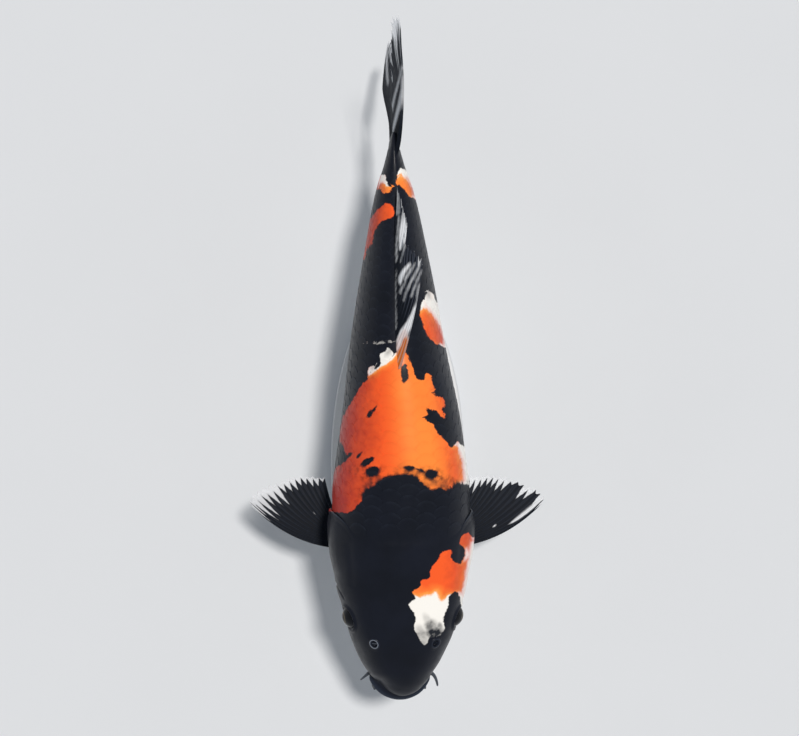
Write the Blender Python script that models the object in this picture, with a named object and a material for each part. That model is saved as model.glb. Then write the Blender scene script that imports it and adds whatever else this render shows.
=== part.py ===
"""Koi carp, a still life-size display model held swimming above a plain stand.

The fish is laid out in its own frame first: s runs back from the mouth, u to the
fish's left and v up from the body axis, all in millimetres.  swimming_pose() then
turns that into the world: head towards -Y, belly over the stand, a gentle bend of
the tail and a slight lean of the head and shoulders.
"""
import math

import bmesh
import bpy
import numpy as np

# ---------------------------------------------------------------- driving sizes (mm)
MM = 0.001                      # metres in a millimetre
MOUTH_TO_MIDDLE = 198.25        # s of the model's middle, which stands on world Y = 0
AXIS_HEIGHT = 93.0              # body axis above the surface the stand rests on
SIDE_SHIFT = 0.35               # shifts the fish so that its side fins reach equally far
GAP = 0.3                       # clearance between neighbouring pieces

# s, half width, back, widest line, belly: the body without gill covers or lips
BODY = np.array([
    (1.6, 0.0, -3.4, -3.5, -3.6), (2.6, 5.6, 0.2, -5.0, -9.5), (5.5, 11.2, 4.6, -7.5, -15.0),
    (9.5, 14.9, 8.4, -9.5, -18.8), (16, 18.8, 12.4, -10.0, -22.8), (25, 24.3, 17.0, -8.0, -26.6),
    (39, 30.0, 23.0, -4.0, -30.5), (54, 33.9, 28.0, -2.0, -33.5), (71, 38.4, 33.0, -1.0, -37.0),
    (90, 40.3, 38.5, -1.0, -40.2), (119, 40.3, 45.3, 0.0, -44.0), (150, 36.9, 49.8, 1.0, -46.0),
    (191, 30.8, 50.2, 2.0, -44.0), (231, 24.4, 43.5, 2.0, -36.0), (266, 18.0, 33.5, 1.0, -26.5),
    (291, 13.0, 25.5, 1.0, -20.0), (304, 9.5, 22.2, 1.0, -18.2), (311, 6.6, 20.9, 1.0, -17.6),
    (317, 4.3, 20.4, 1.0, -17.4)])
BACK_SQUARENESS = ((0, 2.1), (40, 2.4), (100, 2.3), (160, 2.1), (260, 2.0), (317, 2.2))
BELLY_SQUARENESS = ((0, 2.1), (40, 2.2), (100, 2.3), (160, 2.5), (260, 2.1), (317, 2.2))
BEND = ((0, 2.0), (60, 2.0), (112, 1.5), (165, 1.5), (205, -0.3), (260, -1.3), (322, -2.5), (360, -3.0), (400, -3.0))
LEAN = ((0, 5.5), (130, 5.5), (190, 1.8), (220, 0.0), (400, 0.0))    # degrees, back to +X

SNOUT = 1.6                     # where the snout begins, behind the front of the lip
HEAD_END = 104.0                # flat joint between head and trunk, under the gill covers
TRUNK_END = 276.0               # flat joint between trunk and tail stalk
STALK_END = 317.0               # where the flesh ends and the caudal fin begins
ROUND_STEPS = 28                # points round the body

COVER_DEPTH = 2.6               # thickness of a gill cover below the head's own surface
COVER_RAISE = 2.7               # how far its rear stands proud of the body
COVER_LOW, COVER_HIGH = -64.0, 42.0      # its lower and upper ends, degrees from the side
COVER_FRONT, COVER_REAR = 75.0, 113.0    # its front and rear at mid height

EYE_CENTRE = (27.6, 52.0, 7.0)  # u, s, v
EYE_RADIUS = 7.8
LIP_RADIUS = 2.6
JAW_HINGE = 33.0                # s of the rear of the lower jaw
MOUTH_DROP = 0.42               # fall of the mouth line per millimetre of s
# paths of the feelers at the corners of the mouth, the left one turned forwards
LEFT_FEELER = [(18.9, 14.6, -13.6), (20.6, 13.1, -14.0), (22.2, 9.9, -14.9), (23.1, 6.3, -16.2)]
RIGHT_FEELER = [(18.9, 14.6, -13.6), (20.4, 13.3, -14.0), (21.7, 12.0, -14.8), (22.9, 10.8, -16.2)]

BASE_LENGTH, BASE_WIDTH, BASE_THICKNESS = 224.0, 84.0, 9.0
BASE_BEVEL = 1.4                # width of the rounded top edge of the base
BASE_MIDDLE = 134.0             # s below which the middle of the base stands
ROD_STATIONS = (("front", 112.0), ("rear", 196.0))
ROD_RADIUS = 3.2
BELLY_SOCKET, BASE_SOCKET = 7.0, 5.0     # how far each rod reaches into belly and base

BLACK, ORANGE = "#15161A", "#E8622A"
FIN_BLACK, LIP_GREY, IRIS = "#20222A", "#3A3D48", "#0A0A0C"
LACQUER, STEEL = "#D9DBDD", "#B9BCC0"


# ---------------------------------------------------------------- shape functions
def smooth_curve(stations, at, column=1):
    """Cubic through stations (x, value...) that never overshoots, read at many x."""
    table = np.asarray(stations, dtype=float)
    x, y = table[:, 0], table[:, column]
    step = np.diff(x)
    rise = np.diff(y) / step
    same_way = rise[:-1] * rise[1:] > 0
    weight_a, weight_b = 2 * step[1:] + step[:-1], step[1:] + 2 * step[:-1]
    safe = np.where(same_way, rise[:-1], 1.0), np.where(same_way, rise[1:], 1.0)
    inner = np.where(same_way, (weight_a + weight_b) / (weight_a / safe[0] + weight_b / safe[1]), 0)
    slope = np.concatenate([rise[:1], inner, rise[-1:]])
    at = np.clip(np.asarray(at, dtype=float), x[0], x[-1])
    i = np.clip(np.searchsorted(x, at, side="right") - 1, 0, len(step) - 1)
    t = (at - x[i]) / step[i]
    return (y[i] * (1 + 2 * t) * (1 - t) ** 2 + step[i] * slope[i] * t * (1 - t) ** 2
            + y[i + 1] * t * t * (3 - 2 * t) + step[i] * slope[i + 1] * t * t * (t - 1))


def body_point(s, angle, out=0.0):
    """Points (u, s, v) on the body at s and an angle in degrees: 0 left side, 90 back."""
    s, angle, out = np.broadcast_arrays(*(np.asarray(a, dtype=float) for a in (s, angle, out)))
    root_table = BODY.copy()
    root_table[:, 0] = np.sqrt(BODY[:, 0] - SNOUT)      # a square root in s rounds the nose
    root = np.sqrt(np.clip(s - SNOUT, 0, None))
    half, back, mid, belly = (smooth_curve(root_table, root, c) for c in (1, 2, 3, 4))
    c, d = np.cos(np.radians(angle)), np.sin(np.radians(angle))
    square = np.where(d > 0, smooth_curve(BACK_SQUARENESS, s), smooth_curve(BELLY_SQUARENESS, s))
    rise = np.where(d > 0, back - mid, mid - belly)
    u = (half + out) * np.sign(c) * np.abs(c) ** (2 / square)
    v = mid + (rise + out) * np.sign(d) * np.abs(d) ** (2 / square)
    return np.stack([u, s, v], axis=-1)


def swimming_pose(points):
    """World places in metres of points (u, s, v): lean about the axis, then bend it."""
    u, s, v = np.moveaxis(np.asarray(points, dtype=float), -1, 0)
    lean = np.radians(smooth_curve(LEAN, s))
    x = SIDE_SHIFT + smooth_curve(BEND, s) + u * np.cos(lean) + v * np.sin(lean)
    z = AXIS_HEIGHT - u * np.sin(lean) + v * np.cos(lean)
    return np.stack([x, s - MOUTH_TO_MIDDLE, z], axis=-1) * MM


# ---------------------------------------------------------------- mesh helpers
def linear(hex_colour):
    """Linear RGBA of an sRGB hex colour."""
    parts = [int(hex_colour[i:i + 2], 16) / 255 for i in (1, 3, 5)]
    return [p / 12.92 if p <= 0.04045 else ((p + 0.055) / 1.055) ** 2.4 for p in parts] + [1.0]


def finish(name, hex_colour, roughness, metallic=0.0):
    """A plain material of one colour."""
    material = bpy.data.materials.new(name)
    material.use_nodes = True
    shader = material.node_tree.nodes["Principled BSDF"]
    shader.inputs["Base Color"].default_value = linear(hex_colour)
    shader.inputs["Roughness"].default_value = roughness
    shader.inputs["Metallic"].default_value = metallic
    return material


def new_object(name, points, faces, material=None):
    """An object from points (u, s, v) and faces, posed, welded and facing outwards."""
    mesh = bpy.data.meshes.new(name)
    mesh.from_pydata(swimming_pose(np.reshape(points, (-1, 3))).tolist(), [], faces)
    build = bmesh.new()
    build.from_mesh(mesh)
    bmesh.ops.remove_doubles(build, verts=build.verts, dist=1e-6)
    bmesh.ops.recalc_face_normals(build, faces=build.faces)
    build.to_mesh(mesh)
    build.free()
    mesh.shade_smooth()
    mesh.set_sharp_from_angle(angle=math.radians(50))
    if material:
        mesh.materials.append(material)
    thing = bpy.data.objects.new(name, mesh)
    bpy.context.collection.objects.link(thing)
    return thing


def grid_faces(rows, columns, closed=True, start=0):
    """Quads of a grid of points, row by row, closed round each row or not."""
    last = columns if closed else columns - 1
    return [(start + r * columns + c, start + r * columns + (c + 1) % columns,
             start + (r + 1) * columns + (c + 1) % columns, start + (r + 1) * columns + c)
            for r in range(rows - 1) for c in range(last)]


def loft(name, rings, material=None):
    """A closed solid through rings of equal point counts, with flat ends."""
    rows, columns = rings.shape[:2]
    faces = grid_faces(rows, columns)
    faces += [list(range(columns)), list(range((rows - 1) * columns, rows * columns))]
    return new_object(name, rings, faces, material)


def plate(name, outer, inner, material=None):
    """A closed solid between two grids of points that lie one over the other."""
    rows, columns = outer.shape[:2]
    count = rows * columns
    faces = grid_faces(rows, columns, closed=False)
    faces += grid_faces(rows, columns, closed=False, start=count)
    rim = [(0, c) for c in range(columns)] + [(r, columns - 1) for r in range(1, rows)]
    rim += [(rows - 1, c) for c in range(columns - 2, -1, -1)] + [(r, 0) for r in range(rows - 2, 0, -1)]
    rim = [r * columns + c for r, c in rim]
    faces += [(a, b, b + count, a + count) for a, b in zip(rim, rim[1:] + rim[:1])]
    return new_object(name, np.concatenate([outer.reshape(-1, 3), inner.reshape(-1, 3)]), faces, material)


def tube(name, path, radii, sides, material=None):
    """A closed solid of round sections of the given radii along a path."""
    path = np.asarray(path, dtype=float)
    along = np.gradient(path, axis=0)
    along /= np.linalg.norm(along, axis=1, keepdims=True)
    side = np.cross(along, (0.0, 0.0, 1.0))
    side /= np.linalg.norm(side, axis=1, keepdims=True)
    up = np.cross(side, along)
    turn = np.linspace(0, 2 * np.pi, sides, endpoint=False)[None, :, None]
    radii = np.broadcast_to(radii, len(path))[:, None, None]
    rings = path[:, None] + radii * (np.cos(turn) * side[:, None] + np.sin(turn) * up[:, None])
    return loft(name, rings, material)


def cut(thing, cutter, operation="DIFFERENCE"):
    """Cut a solid with another, which stays as a guide only."""
    cutter.hide_render = True
    cutter.display_type = "WIRE"
    modifier = thing.modifiers.new("cut " + cutter.name, "BOOLEAN")
    modifier.operation = operation
    modifier.object = cutter
    modifier.solver = "EXACT"


def box(name, low, high, tilt=0.0):
    """A block between two corners (u, s, v), each point dropped by tilt times its s."""
    corners = np.array([[[(u, s, v - tilt * s) for v in (low[2], high[2])] for s in (low[1], high[1])]
                        for u in (low[0], high[0])]).reshape(-1, 3)
    faces = [(0, 1, 3, 2), (4, 6, 7, 5), (0, 4, 5, 1), (2, 3, 7, 6), (0, 2, 6, 4), (1, 5, 7, 3)]
    return new_object(name, corners, faces)


# ---------------------------------------------------------------- body of flesh
def body_length(name, first, last, rows, material):
    """A length of the body between two flat joints."""
    root = np.linspace(math.sqrt(first - SNOUT), math.sqrt(last - SNOUT), rows)
    angle = np.linspace(0, 360, ROUND_STEPS, endpoint=False) + 180 / ROUND_STEPS
    return loft(name, body_point(SNOUT + root[:, None] ** 2, angle[None, :]), material)


def gill_cover(name, side, grow, material=None):
    """Curved plate over the gills, grown all round by a clearance to make its cutter."""
    angle = np.linspace(COVER_LOW, COVER_HIGH, 11)
    height = (angle - 0.5 * (COVER_LOW + COVER_HIGH)) / (0.5 * (COVER_HIGH - COVER_LOW))
    rounding = 1 - np.sqrt(1 - np.abs(height) ** 2.6 * 0.985)
    front = COVER_FRONT + 9.0 * rounding - 3.0 * np.clip(-height, 0, 1)
    rear = COVER_REAR - 15.0 * rounding - 6.0 * np.clip(-height, 0, 1)
    across = np.linspace(0, 1, 7)[:, None]
    s = front + (rear - front) * across + grow * (1 + 2 * height ** 4) * (2 * across - 1)
    angle = angle + math.degrees(1.2 * grow / 38.0) * height
    lift = COVER_RAISE * np.sin(0.5 * np.pi * np.clip(across * 1.25, 0, 1)) * (1 - 0.5 * np.abs(height) ** 4)
    lift = lift * np.sqrt(np.clip((1.08 - across) / 0.3, 0, 1)) + (4.0 if grow else 0.0)
    outer = body_point(s, angle[None, :], lift)
    inner = body_point(s, angle[None, :], -COVER_DEPTH - grow)
    for grid in (outer, inner):
        grid[..., 0] *= side
    return plate(name, outer, inner, material)


def lip_path():
    """Centre line of the upper lip, from one corner of the mouth round to the other."""
    turn = np.radians(np.linspace(-92, 92, 15))
    s = 12.2 - 9.6 * np.cos(turn)
    return np.stack([15.6 * np.sin(turn), s, -7.2 - MOUTH_DROP * s], axis=-1)


def eyeball(name, side, radius, material=None):
    """A round eye set in the side of the head."""
    polar = np.radians(np.linspace(0, 180, 9))[1:-1, None]
    turn = np.radians(np.linspace(0, 360, 14, endpoint=False))[None, :]
    out = np.cos(polar) + 0 * turn
    rings = np.stack([side * out, np.sin(polar) * np.cos(turn), np.sin(polar) * np.sin(turn)], axis=-1)
    centre = np.array(EYE_CENTRE) * (side, 1, 1)
    return loft(name, centre + radius * rings, material)


def barbel(name, side, path, thick, material):
    """A tapered feeler along a short path on one side of the mouth."""
    path = np.asarray(path) * (side, 1, 1)
    return tube(name, path, np.linspace(thick, 0.45, len(path)), 8, material)


def make_head(black, lip_grey, iris):
    """Head, jaws, lip, eyes, feelers and gill covers; returns the gill cover cutters."""
    head = body_length("head", SNOUT + 0.1, HEAD_END, 19, black)
    jaw = body_length("lower_jaw", SNOUT + 0.1, JAW_HINGE + 5, 10, black)
    below = -9.0
    cut(head, box("jaw_room", (-40, -5, -60), (40, JAW_HINGE + GAP, below + GAP), MOUTH_DROP))
    cut(jaw, box("jaw_block", (-40, -5, -60), (40, JAW_HINGE, below), MOUTH_DROP), "INTERSECT")
    tube("upper_lip", lip_path(), LIP_RADIUS, 8, lip_grey)
    lip_room = tube("lip_room", lip_path(), LIP_RADIUS + GAP, 8)
    cut(head, lip_room)
    cut(jaw, lip_room)
    covers = []
    for side, word in ((1, "left"), (-1, "right")):
        eyeball("eye_" + word, side, EYE_RADIUS, iris)
        cut(head, eyeball("eye_room_" + word, side, EYE_RADIUS + GAP))
        gill_cover("gill_cover_" + word, side, 0.0, black)
        room = gill_cover("cover_room_" + word, side, GAP)
        cut(head, room)
        covers.append(room)
        barbel("barbel_upper_" + word, side, [(16.7, 7.7, -13.3), (17.3, 8.1, -17.2)], 0.8, lip_grey)
        barbel("barbel_lower_" + word, side, LEFT_FEELER if side > 0 else RIGHT_FEELER, 1.2, lip_grey)
    return covers


# ---------------------------------------------------------------- fins
def fin(name, root, tips, bow, thick, notch, rays, material, lie=None):
    """A fan of rays from a root line to a line of tips, thin and ragged at its edge.

    bow is how far the middles of the first and the last ray are drawn aside; notch is the
    depth, as a share of a ray, of the nicks between tips; lie moves the finished grid.
    """
    across = np.linspace(0, 1, 2 * rays - 1)
    along = np.array([0.0, 0.33, 0.72, 1.0])[None, :, None]
    start, end = ([smooth_curve(np.column_stack([row[:, 0], row[:, c]]), across) for c in (1, 2, 3)]
                  for row in (np.array(root, dtype=float), np.array(tips, dtype=float)))
    start, end = np.stack(start, axis=-1)[:, None], np.stack(end, axis=-1)[:, None]
    reach = 1 - notch * (np.arange(len(across)) % 2)[:, None, None]
    t = along * reach
    first, last = np.array(bow, dtype=float)
    middle = 0.5 * (start + end) + first + (last - first) * across[:, None, None]
    grid = (1 - t) ** 2 * start + 2 * t * (1 - t) * middle + t ** 2 * end
    if lie:
        grid = lie(grid)
    normal = np.cross(np.gradient(grid, axis=0), np.gradient(grid, axis=1))
    normal /= np.linalg.norm(normal, axis=-1, keepdims=True)
    half = 0.5 * (thick + (0.62 - thick) * t ** 0.7)
    return plate(name, grid + normal * half, grid - normal * half, material)


def make_back_fin(material):
    """Dorsal fin: half folded, its tall front rays laid back and over to the left."""
    share = (0.0, 0.3, 0.6, 1.0)
    root = [(a, *body_point(196.0 + 76.0 * a, 90.0, GAP + 0.35)) for a in share]
    tips = [(0.0, 14.6, 250.5, 52.5), (0.12, 15.0, 256.0, 52.0), (0.3, 9.0, 262.0, 48.5),
            (0.5, 4.4, 268.0, 44.0), (0.68, 6.6, 277.0, 39.0), (0.85, 4.4, 288.0, 33.5),
            (1.0, 1.5, 299.0, 29.0)]
    fin("dorsal_fin", root, tips, ((1.4, -3.0, 5.0), (0.4, -5.0, 4.0)), 2.0, 0.05, 12, material)


def make_belly_fins(material):
    """Anal fin, folded back under the tail, and the pair of pelvic fins."""
    root = [(a, *body_point(258.0 + 22.0 * a, -90.0, GAP + 0.5)) for a in (0.0, 0.5, 1.0)]
    tips = [(0.0, 1.5, 290.0, -49.0), (0.3, 1.8, 295.0, -46.5), (0.65, 1.0, 298.0, -38.0),
            (1.0, 0.5, 300.0, -29.5)]
    fin("anal_fin", root, tips, ((0.0, -2.0, -2.0),) * 2, 1.8, 0.05, 6, material)
    for side, word in ((1, "left"), (-1, "right")):
        root = [(a, *(body_point(175.0 + 9.0 * a, -60.0 - 15.0 * a, GAP + 0.6) * (side, 1, 1)))
                for a in (0.0, 0.5, 1.0)]
        tips = [(0.0, side * 27.0, 211.0, -60.0), (0.3, side * 26.5, 218.0, -60.5),
                (0.65, side * 20.0, 222.0, -58.0), (1.0, side * 11.5, 219.0, -53.5)]
        fin("pelvic_fin_" + word, root, tips, ((side * 2.5, -1.0, -1.0),) * 2, 1.8, 0.05, 7, material)


def make_side_fins(material):
    """Pectoral fins, spread wide just behind and below the gill covers."""
    for side, word, tip in ((1, "left", 92.0), (-1, "right", 88.5)):
        root = [(0.0, side * 34.6, 87.5, -30.0), (0.5, side * 34.4, 94.0, -31.5),
                (1.0, side * 33.4, 101.0, -33.0)]
        tips = [(0.0, side * (tip - 2.6), 115.0, -37.5), (0.12, side * tip, 119.0, -38.0),
                (0.3, side * (tip - 7.0), 122.5, -38.5), (0.5, side * (tip - 18.5), 127.0, -38.5),
                (0.75, side * (tip - 32.0), 130.5, -38.0), (1.0, side * (tip - 46.0), 130.0, -36.5)]
        bow = ((side * 3.0, -11.0, 2.5), (side * 1.0, -3.0, 2.0))
        fin("pectoral_fin_" + word, root, tips, bow, 2.6, 0.075, 13, material)


def tail_sway(grid):
    """Lobes of the tail cupped to either side, the upper one to the left.

    The sway is full along a lobe's outer ray and nothing along its inner edge, so that the
    two inner edges meet in the middle plane.
    """
    s, height = grid[..., 1], grid[..., 2] - 1.0
    inner = smooth_curve(((317, 0.0), (361, 0.3), (371, 15.0), (386, 30.0), (394, 42.0)), s)
    outer = smooth_curve(((317, 19.2), (396, 47.0)), s)
    share = np.clip((np.abs(height) - inner) / np.maximum(outer - inner, 4.0), -0.2, 1.1)
    upper = smooth_curve(((317, 0.0), (328, 3.2), (345, 5.4), (356, 6.2), (366, 5.2), (376, 5.2), (388, 4.0),
                          (396, 2.0)), s)
    lower = smooth_curve(((317, 0.0), (340, 2.6), (350, 4.6), (358, 6.0), (364, 6.8), (375, 6.2), (388, 4.4),
                          (397, 2.6)), s)
    grid[..., 0] += np.where(height > 0, upper, -lower) * share
    return grid


def make_tail_fin(material):
    """The two lobes of the forked caudal fin."""
    root_s = STALK_END + 2 * GAP
    for word, sign in (("upper", 1), ("lower", -1)):
        root = [(0.0, 0.0, root_s, 1 + sign * 19.2), (1.0, 0.0, root_s, 1 + sign * 0.3)]
        end = 396.5 if word == "lower" else 394.0
        tips = [(0.0, 0.0, end - 0.5, 1 + sign * 46.5), (0.16, 0.0, end, 1 + sign * 42.5),
                (0.42, 0.0, 386.0, 1 + sign * 30.5), (0.72, 0.0, 371.0, 1 + sign * 15.5),
                (1.0, 0.0, 361.0, 1 + sign * 0.3)]
        fin("tail_fin_" + word, root, tips, ((0.0, 0.0, 0.0),) * 2, 5.6, 0.035, 9, material, tail_sway)


# ---------------------------------------------------------------- stand
def rod(name, station, grow, material=None):
    """An upright rod from a socket in the base to one in the belly above it."""
    belly = swimming_pose(body_point(station, -90.0))
    low = (BASE_THICKNESS - BASE_SOCKET - grow) * MM
    high = float(belly[2]) + (BELLY_SOCKET + grow) * MM
    bpy.ops.mesh.primitive_cylinder_add(vertices=20, radius=(ROD_RADIUS + grow) * MM, depth=high - low)
    thing = bpy.context.object
    thing.name = name
    thing.location = (float(belly[0]), float(belly[1]), 0.5 * (low + high))
    thing.data.shade_smooth()
    thing.data.set_sharp_from_angle(angle=math.radians(50))
    if material:
        thing.data.materials.append(material)
    return thing


def make_stand(lacquer, steel):
    """Oval base plate and two upright rods; returns the rods' cutters."""
    turn = np.linspace(0, 2 * np.pi, 44, endpoint=False)
    levels = ((0.0, 0.4), (0.4, 0.0), (BASE_THICKNESS - BASE_BEVEL, 0.0), (BASE_THICKNESS, BASE_BEVEL))
    rings = [np.stack([(0.5 * BASE_WIDTH - inset) * np.cos(turn), (0.5 * BASE_LENGTH - inset) * np.sin(turn),
                       np.full(len(turn), height)], axis=-1) for height, inset in levels]
    count = len(turn)
    faces = grid_faces(len(levels), count)
    faces += [list(range(count))[::-1], list(range((len(levels) - 1) * count, len(levels) * count))]
    mesh = bpy.data.meshes.new("stand_base")
    mesh.from_pydata((np.concatenate(rings) * MM).tolist(), [], faces)
    mesh.materials.append(lacquer)
    base = bpy.data.objects.new("stand_base", mesh)
    base.location = (0, (BASE_MIDDLE - MOUTH_TO_MIDDLE) * MM, 0)
    bpy.context.collection.objects.link(base)
    rooms = []
    for word, station in ROD_STATIONS:
        rod("stand_rod_" + word, station, 0.0, steel)
        rooms.append(rod("rod_room_" + word, station, GAP))
        cut(base, rooms[-1])
    return rooms


def main():
    """Build every piece of the fish and its stand."""
    for thing in list(bpy.data.objects):
        bpy.data.objects.remove(thing, do_unlink=True)
    black = finish("skin black", BLACK, 0.35)
    fin_black = finish("fin black", FIN_BLACK, 0.4)
    cover_rooms = make_head(black, finish("lip grey", LIP_GREY, 0.4), finish("eye black", IRIS, 0.08))
    trunk = body_length("trunk", HEAD_END + GAP, TRUNK_END, 13, finish("skin orange", ORANGE, 0.35))
    body_length("tail_stalk", TRUNK_END + GAP, STALK_END, 8, black)
    rod_rooms = make_stand(finish("lacquer", LACQUER, 0.4), finish("steel", STEEL, 0.3, 1.0))
    for room in cover_rooms + rod_rooms:
        cut(trunk, room)
    make_back_fin(fin_black)
    make_belly_fins(fin_black)
    make_side_fins(fin_black)
    make_tail_fin(fin_black)


main()
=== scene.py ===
"""Looks of a life-size koi carp that swims above a plain display stand.

The fish is laid out in its own frame first, in millimetres: s runs back from the
mouth, u to the fish's left and v up from the body's axis.  Body.pose() turns that
into the world, head towards -Y and belly over the stand.  Every surface is a grid of
points worked out from two parameters, put into its mesh as whole arrays.
"""
import logging
import math
from dataclasses import dataclass, field
from enum import Enum

import bpy
import mathutils
import numpy as np
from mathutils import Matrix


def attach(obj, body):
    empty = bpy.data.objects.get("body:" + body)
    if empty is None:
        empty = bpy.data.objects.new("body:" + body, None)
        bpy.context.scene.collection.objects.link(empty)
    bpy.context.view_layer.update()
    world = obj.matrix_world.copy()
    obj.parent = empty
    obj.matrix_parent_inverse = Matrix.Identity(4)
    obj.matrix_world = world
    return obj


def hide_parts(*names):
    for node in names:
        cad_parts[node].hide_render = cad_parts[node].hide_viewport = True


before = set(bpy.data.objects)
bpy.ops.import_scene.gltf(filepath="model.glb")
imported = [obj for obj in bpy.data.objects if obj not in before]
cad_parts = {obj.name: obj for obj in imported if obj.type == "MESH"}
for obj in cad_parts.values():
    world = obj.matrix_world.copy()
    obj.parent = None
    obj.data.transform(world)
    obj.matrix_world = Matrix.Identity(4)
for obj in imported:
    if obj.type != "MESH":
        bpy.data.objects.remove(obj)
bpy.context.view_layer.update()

LOG = logging.getLogger("koi")
Array = np.ndarray
Pair = tuple[float, float]
Triple = tuple[float, float, float]
Quad = tuple[float, float, float, float]
Rows = tuple[tuple[float, ...], ...]
Paint = tuple[tuple[float, Rows], ...]  # outlines, each with its strength
Material = bpy.types.Material
Socket = bpy.types.NodeSocket
Piece = bpy.types.Object
MM = 0.001  # metres in a millimetre
FLAT = 1e6  # a stretch that leaves a direction out of a distance
TINY = 1e-9  # keeps a division by a length away from zero
SEED = 7


# ---------------- curves and fields
def smooth_curve(stations: Rows | Array, at: Array | float, column: int = 1) -> Array:
    """Cubic through stations that never overshoots: each slope is the harmonic mean of its neighbours.

    Args:
        stations: rows (x, value, ...), x rising.
        at: places to read.
        column: which value of the rows to read.
    Returns:
        The value at each place, held constant past both ends.
    """
    table = np.asarray(stations, dtype=float)
    x, y = table[:, 0], table[:, column]
    step = np.diff(x)
    rise = np.diff(y) / step
    same_way = rise[:-1] * rise[1:] > 0
    weight_a, weight_b = 2 * step[1:] + step[:-1], step[1:] + 2 * step[:-1]
    before, after = np.where(same_way, rise[:-1], 1.0), np.where(same_way, rise[1:], 1.0)
    inner = np.where(same_way, (weight_a + weight_b) / (weight_a / before + weight_b / after), 0)
    slope = np.concatenate([rise[:1], inner, rise[-1:]])
    at = np.clip(np.asarray(at, dtype=float), x[0], x[-1])
    i = np.clip(np.searchsorted(x, at, side="right") - 1, 0, len(step) - 1)
    t = (at - x[i]) / step[i]
    return (y[i] * (1 + 2 * t) * (1 - t) ** 2 + step[i] * slope[i] * t * (1 - t) ** 2
            + y[i + 1] * t * t * (3 - 2 * t) + step[i] * slope[i + 1] * t * t * (t - 1))


def ease(x: Array | float, low: float, high: float) -> Array:
    """Smooth step 3t^2 - 2t^3 from 0 at low to 1 at high."""
    t = np.clip((np.asarray(x, dtype=float) - low) / (high - low), 0, 1)
    return t * t * (3 - 2 * t)


def bell(x: Array, width: float) -> Array:
    """Bell exp(-(x / width)^2)."""
    return np.exp(-(x / width) ** 2)


def dome(x: Array) -> Array:
    """Half circle sqrt(1 - x^2), zero outside it."""
    return np.sqrt(np.clip(1 - x * x, 0, None))


def waves(rows: Rows, *lengths: Array | float) -> Array:
    """Sum over rows (height, weights) of height times the sine of the weighted sum of the lengths."""
    return sum(height * np.sin(sum(w * x for w, x in zip(weights, lengths))) for height, *weights in rows)


def smooth_path(path: Rows, count: int = 24) -> Array:
    """Points along a path, each coordinate a smooth curve of the share of the way."""
    knots = np.asarray(path, dtype=float)
    share, at = np.linspace(0, 1, len(knots)), np.linspace(0, 1, count)
    return np.stack([smooth_curve(np.column_stack([share, k]), at) for k in knots.T], axis=-1)


def path_distance(a: Array, b: Array, path: Array) -> tuple[Array, Array]:
    """Distance from points (a, b) to the nearest stretch of an open path, and its share of the way.

    Args:
        a: first coordinate of the points.
        b: the second.
        path: points of the path.
    Returns:
        Distance and share.
    """
    near, share = np.full(np.shape(a), 1e9), np.zeros(np.shape(a))
    for i, ((a0, b0), (a1, b1)) in enumerate(zip(path[:-1], path[1:])):
        run_a, run_b = a1 - a0, b1 - b0
        t = np.clip(((a - a0) * run_a + (b - b0) * run_b) / (run_a ** 2 + run_b ** 2), 0, 1)
        here = np.hypot(a - a0 - t * run_a, b - b0 - t * run_b)
        share = np.where(here < near, (i + t) / (len(path) - 1), share)
        near = np.minimum(near, here)
    return near, share


def depth_inside(a: Array, b: Array, outline: Rows) -> Array:
    """Distance inside a closed outline, negative outside it, its corners cut once.

    Each edge gives its nearest distance; a point is inside where a ray along +a crosses
    the outline an odd number of times.

    Args:
        a: first coordinate of each point.
        b: second coordinate of each point.
        outline: corners of the outline in order.
    Returns:
        Signed distance of each point.
    """
    corners = np.asarray(outline, dtype=float)
    after = np.roll(corners, -1, axis=0)
    corners = np.stack([0.8 * corners + 0.2 * after, 0.2 * corners + 0.8 * after], axis=1).reshape(-1, 2)
    near, inside = np.full(np.shape(a), 1e9), np.zeros(np.shape(a), dtype=bool)
    for (a0, b0), (a1, b1) in zip(corners, np.roll(corners, -1, axis=0)):
        run_a, run_b = a1 - a0, b1 - b0
        t = np.clip(((a - a0) * run_a + (b - b0) * run_b) / (run_a ** 2 + run_b ** 2 + 1e-12), 0, 1)
        near = np.minimum(near, np.hypot(a - a0 - t * run_a, b - b0 - t * run_b))
        crosses = (b0 > b) != (b1 > b)
        inside ^= crosses & (a < a0 + (b - b0) / np.where(crosses, run_b, 1.0) * run_a)
    return np.where(inside, near, -near)


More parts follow.
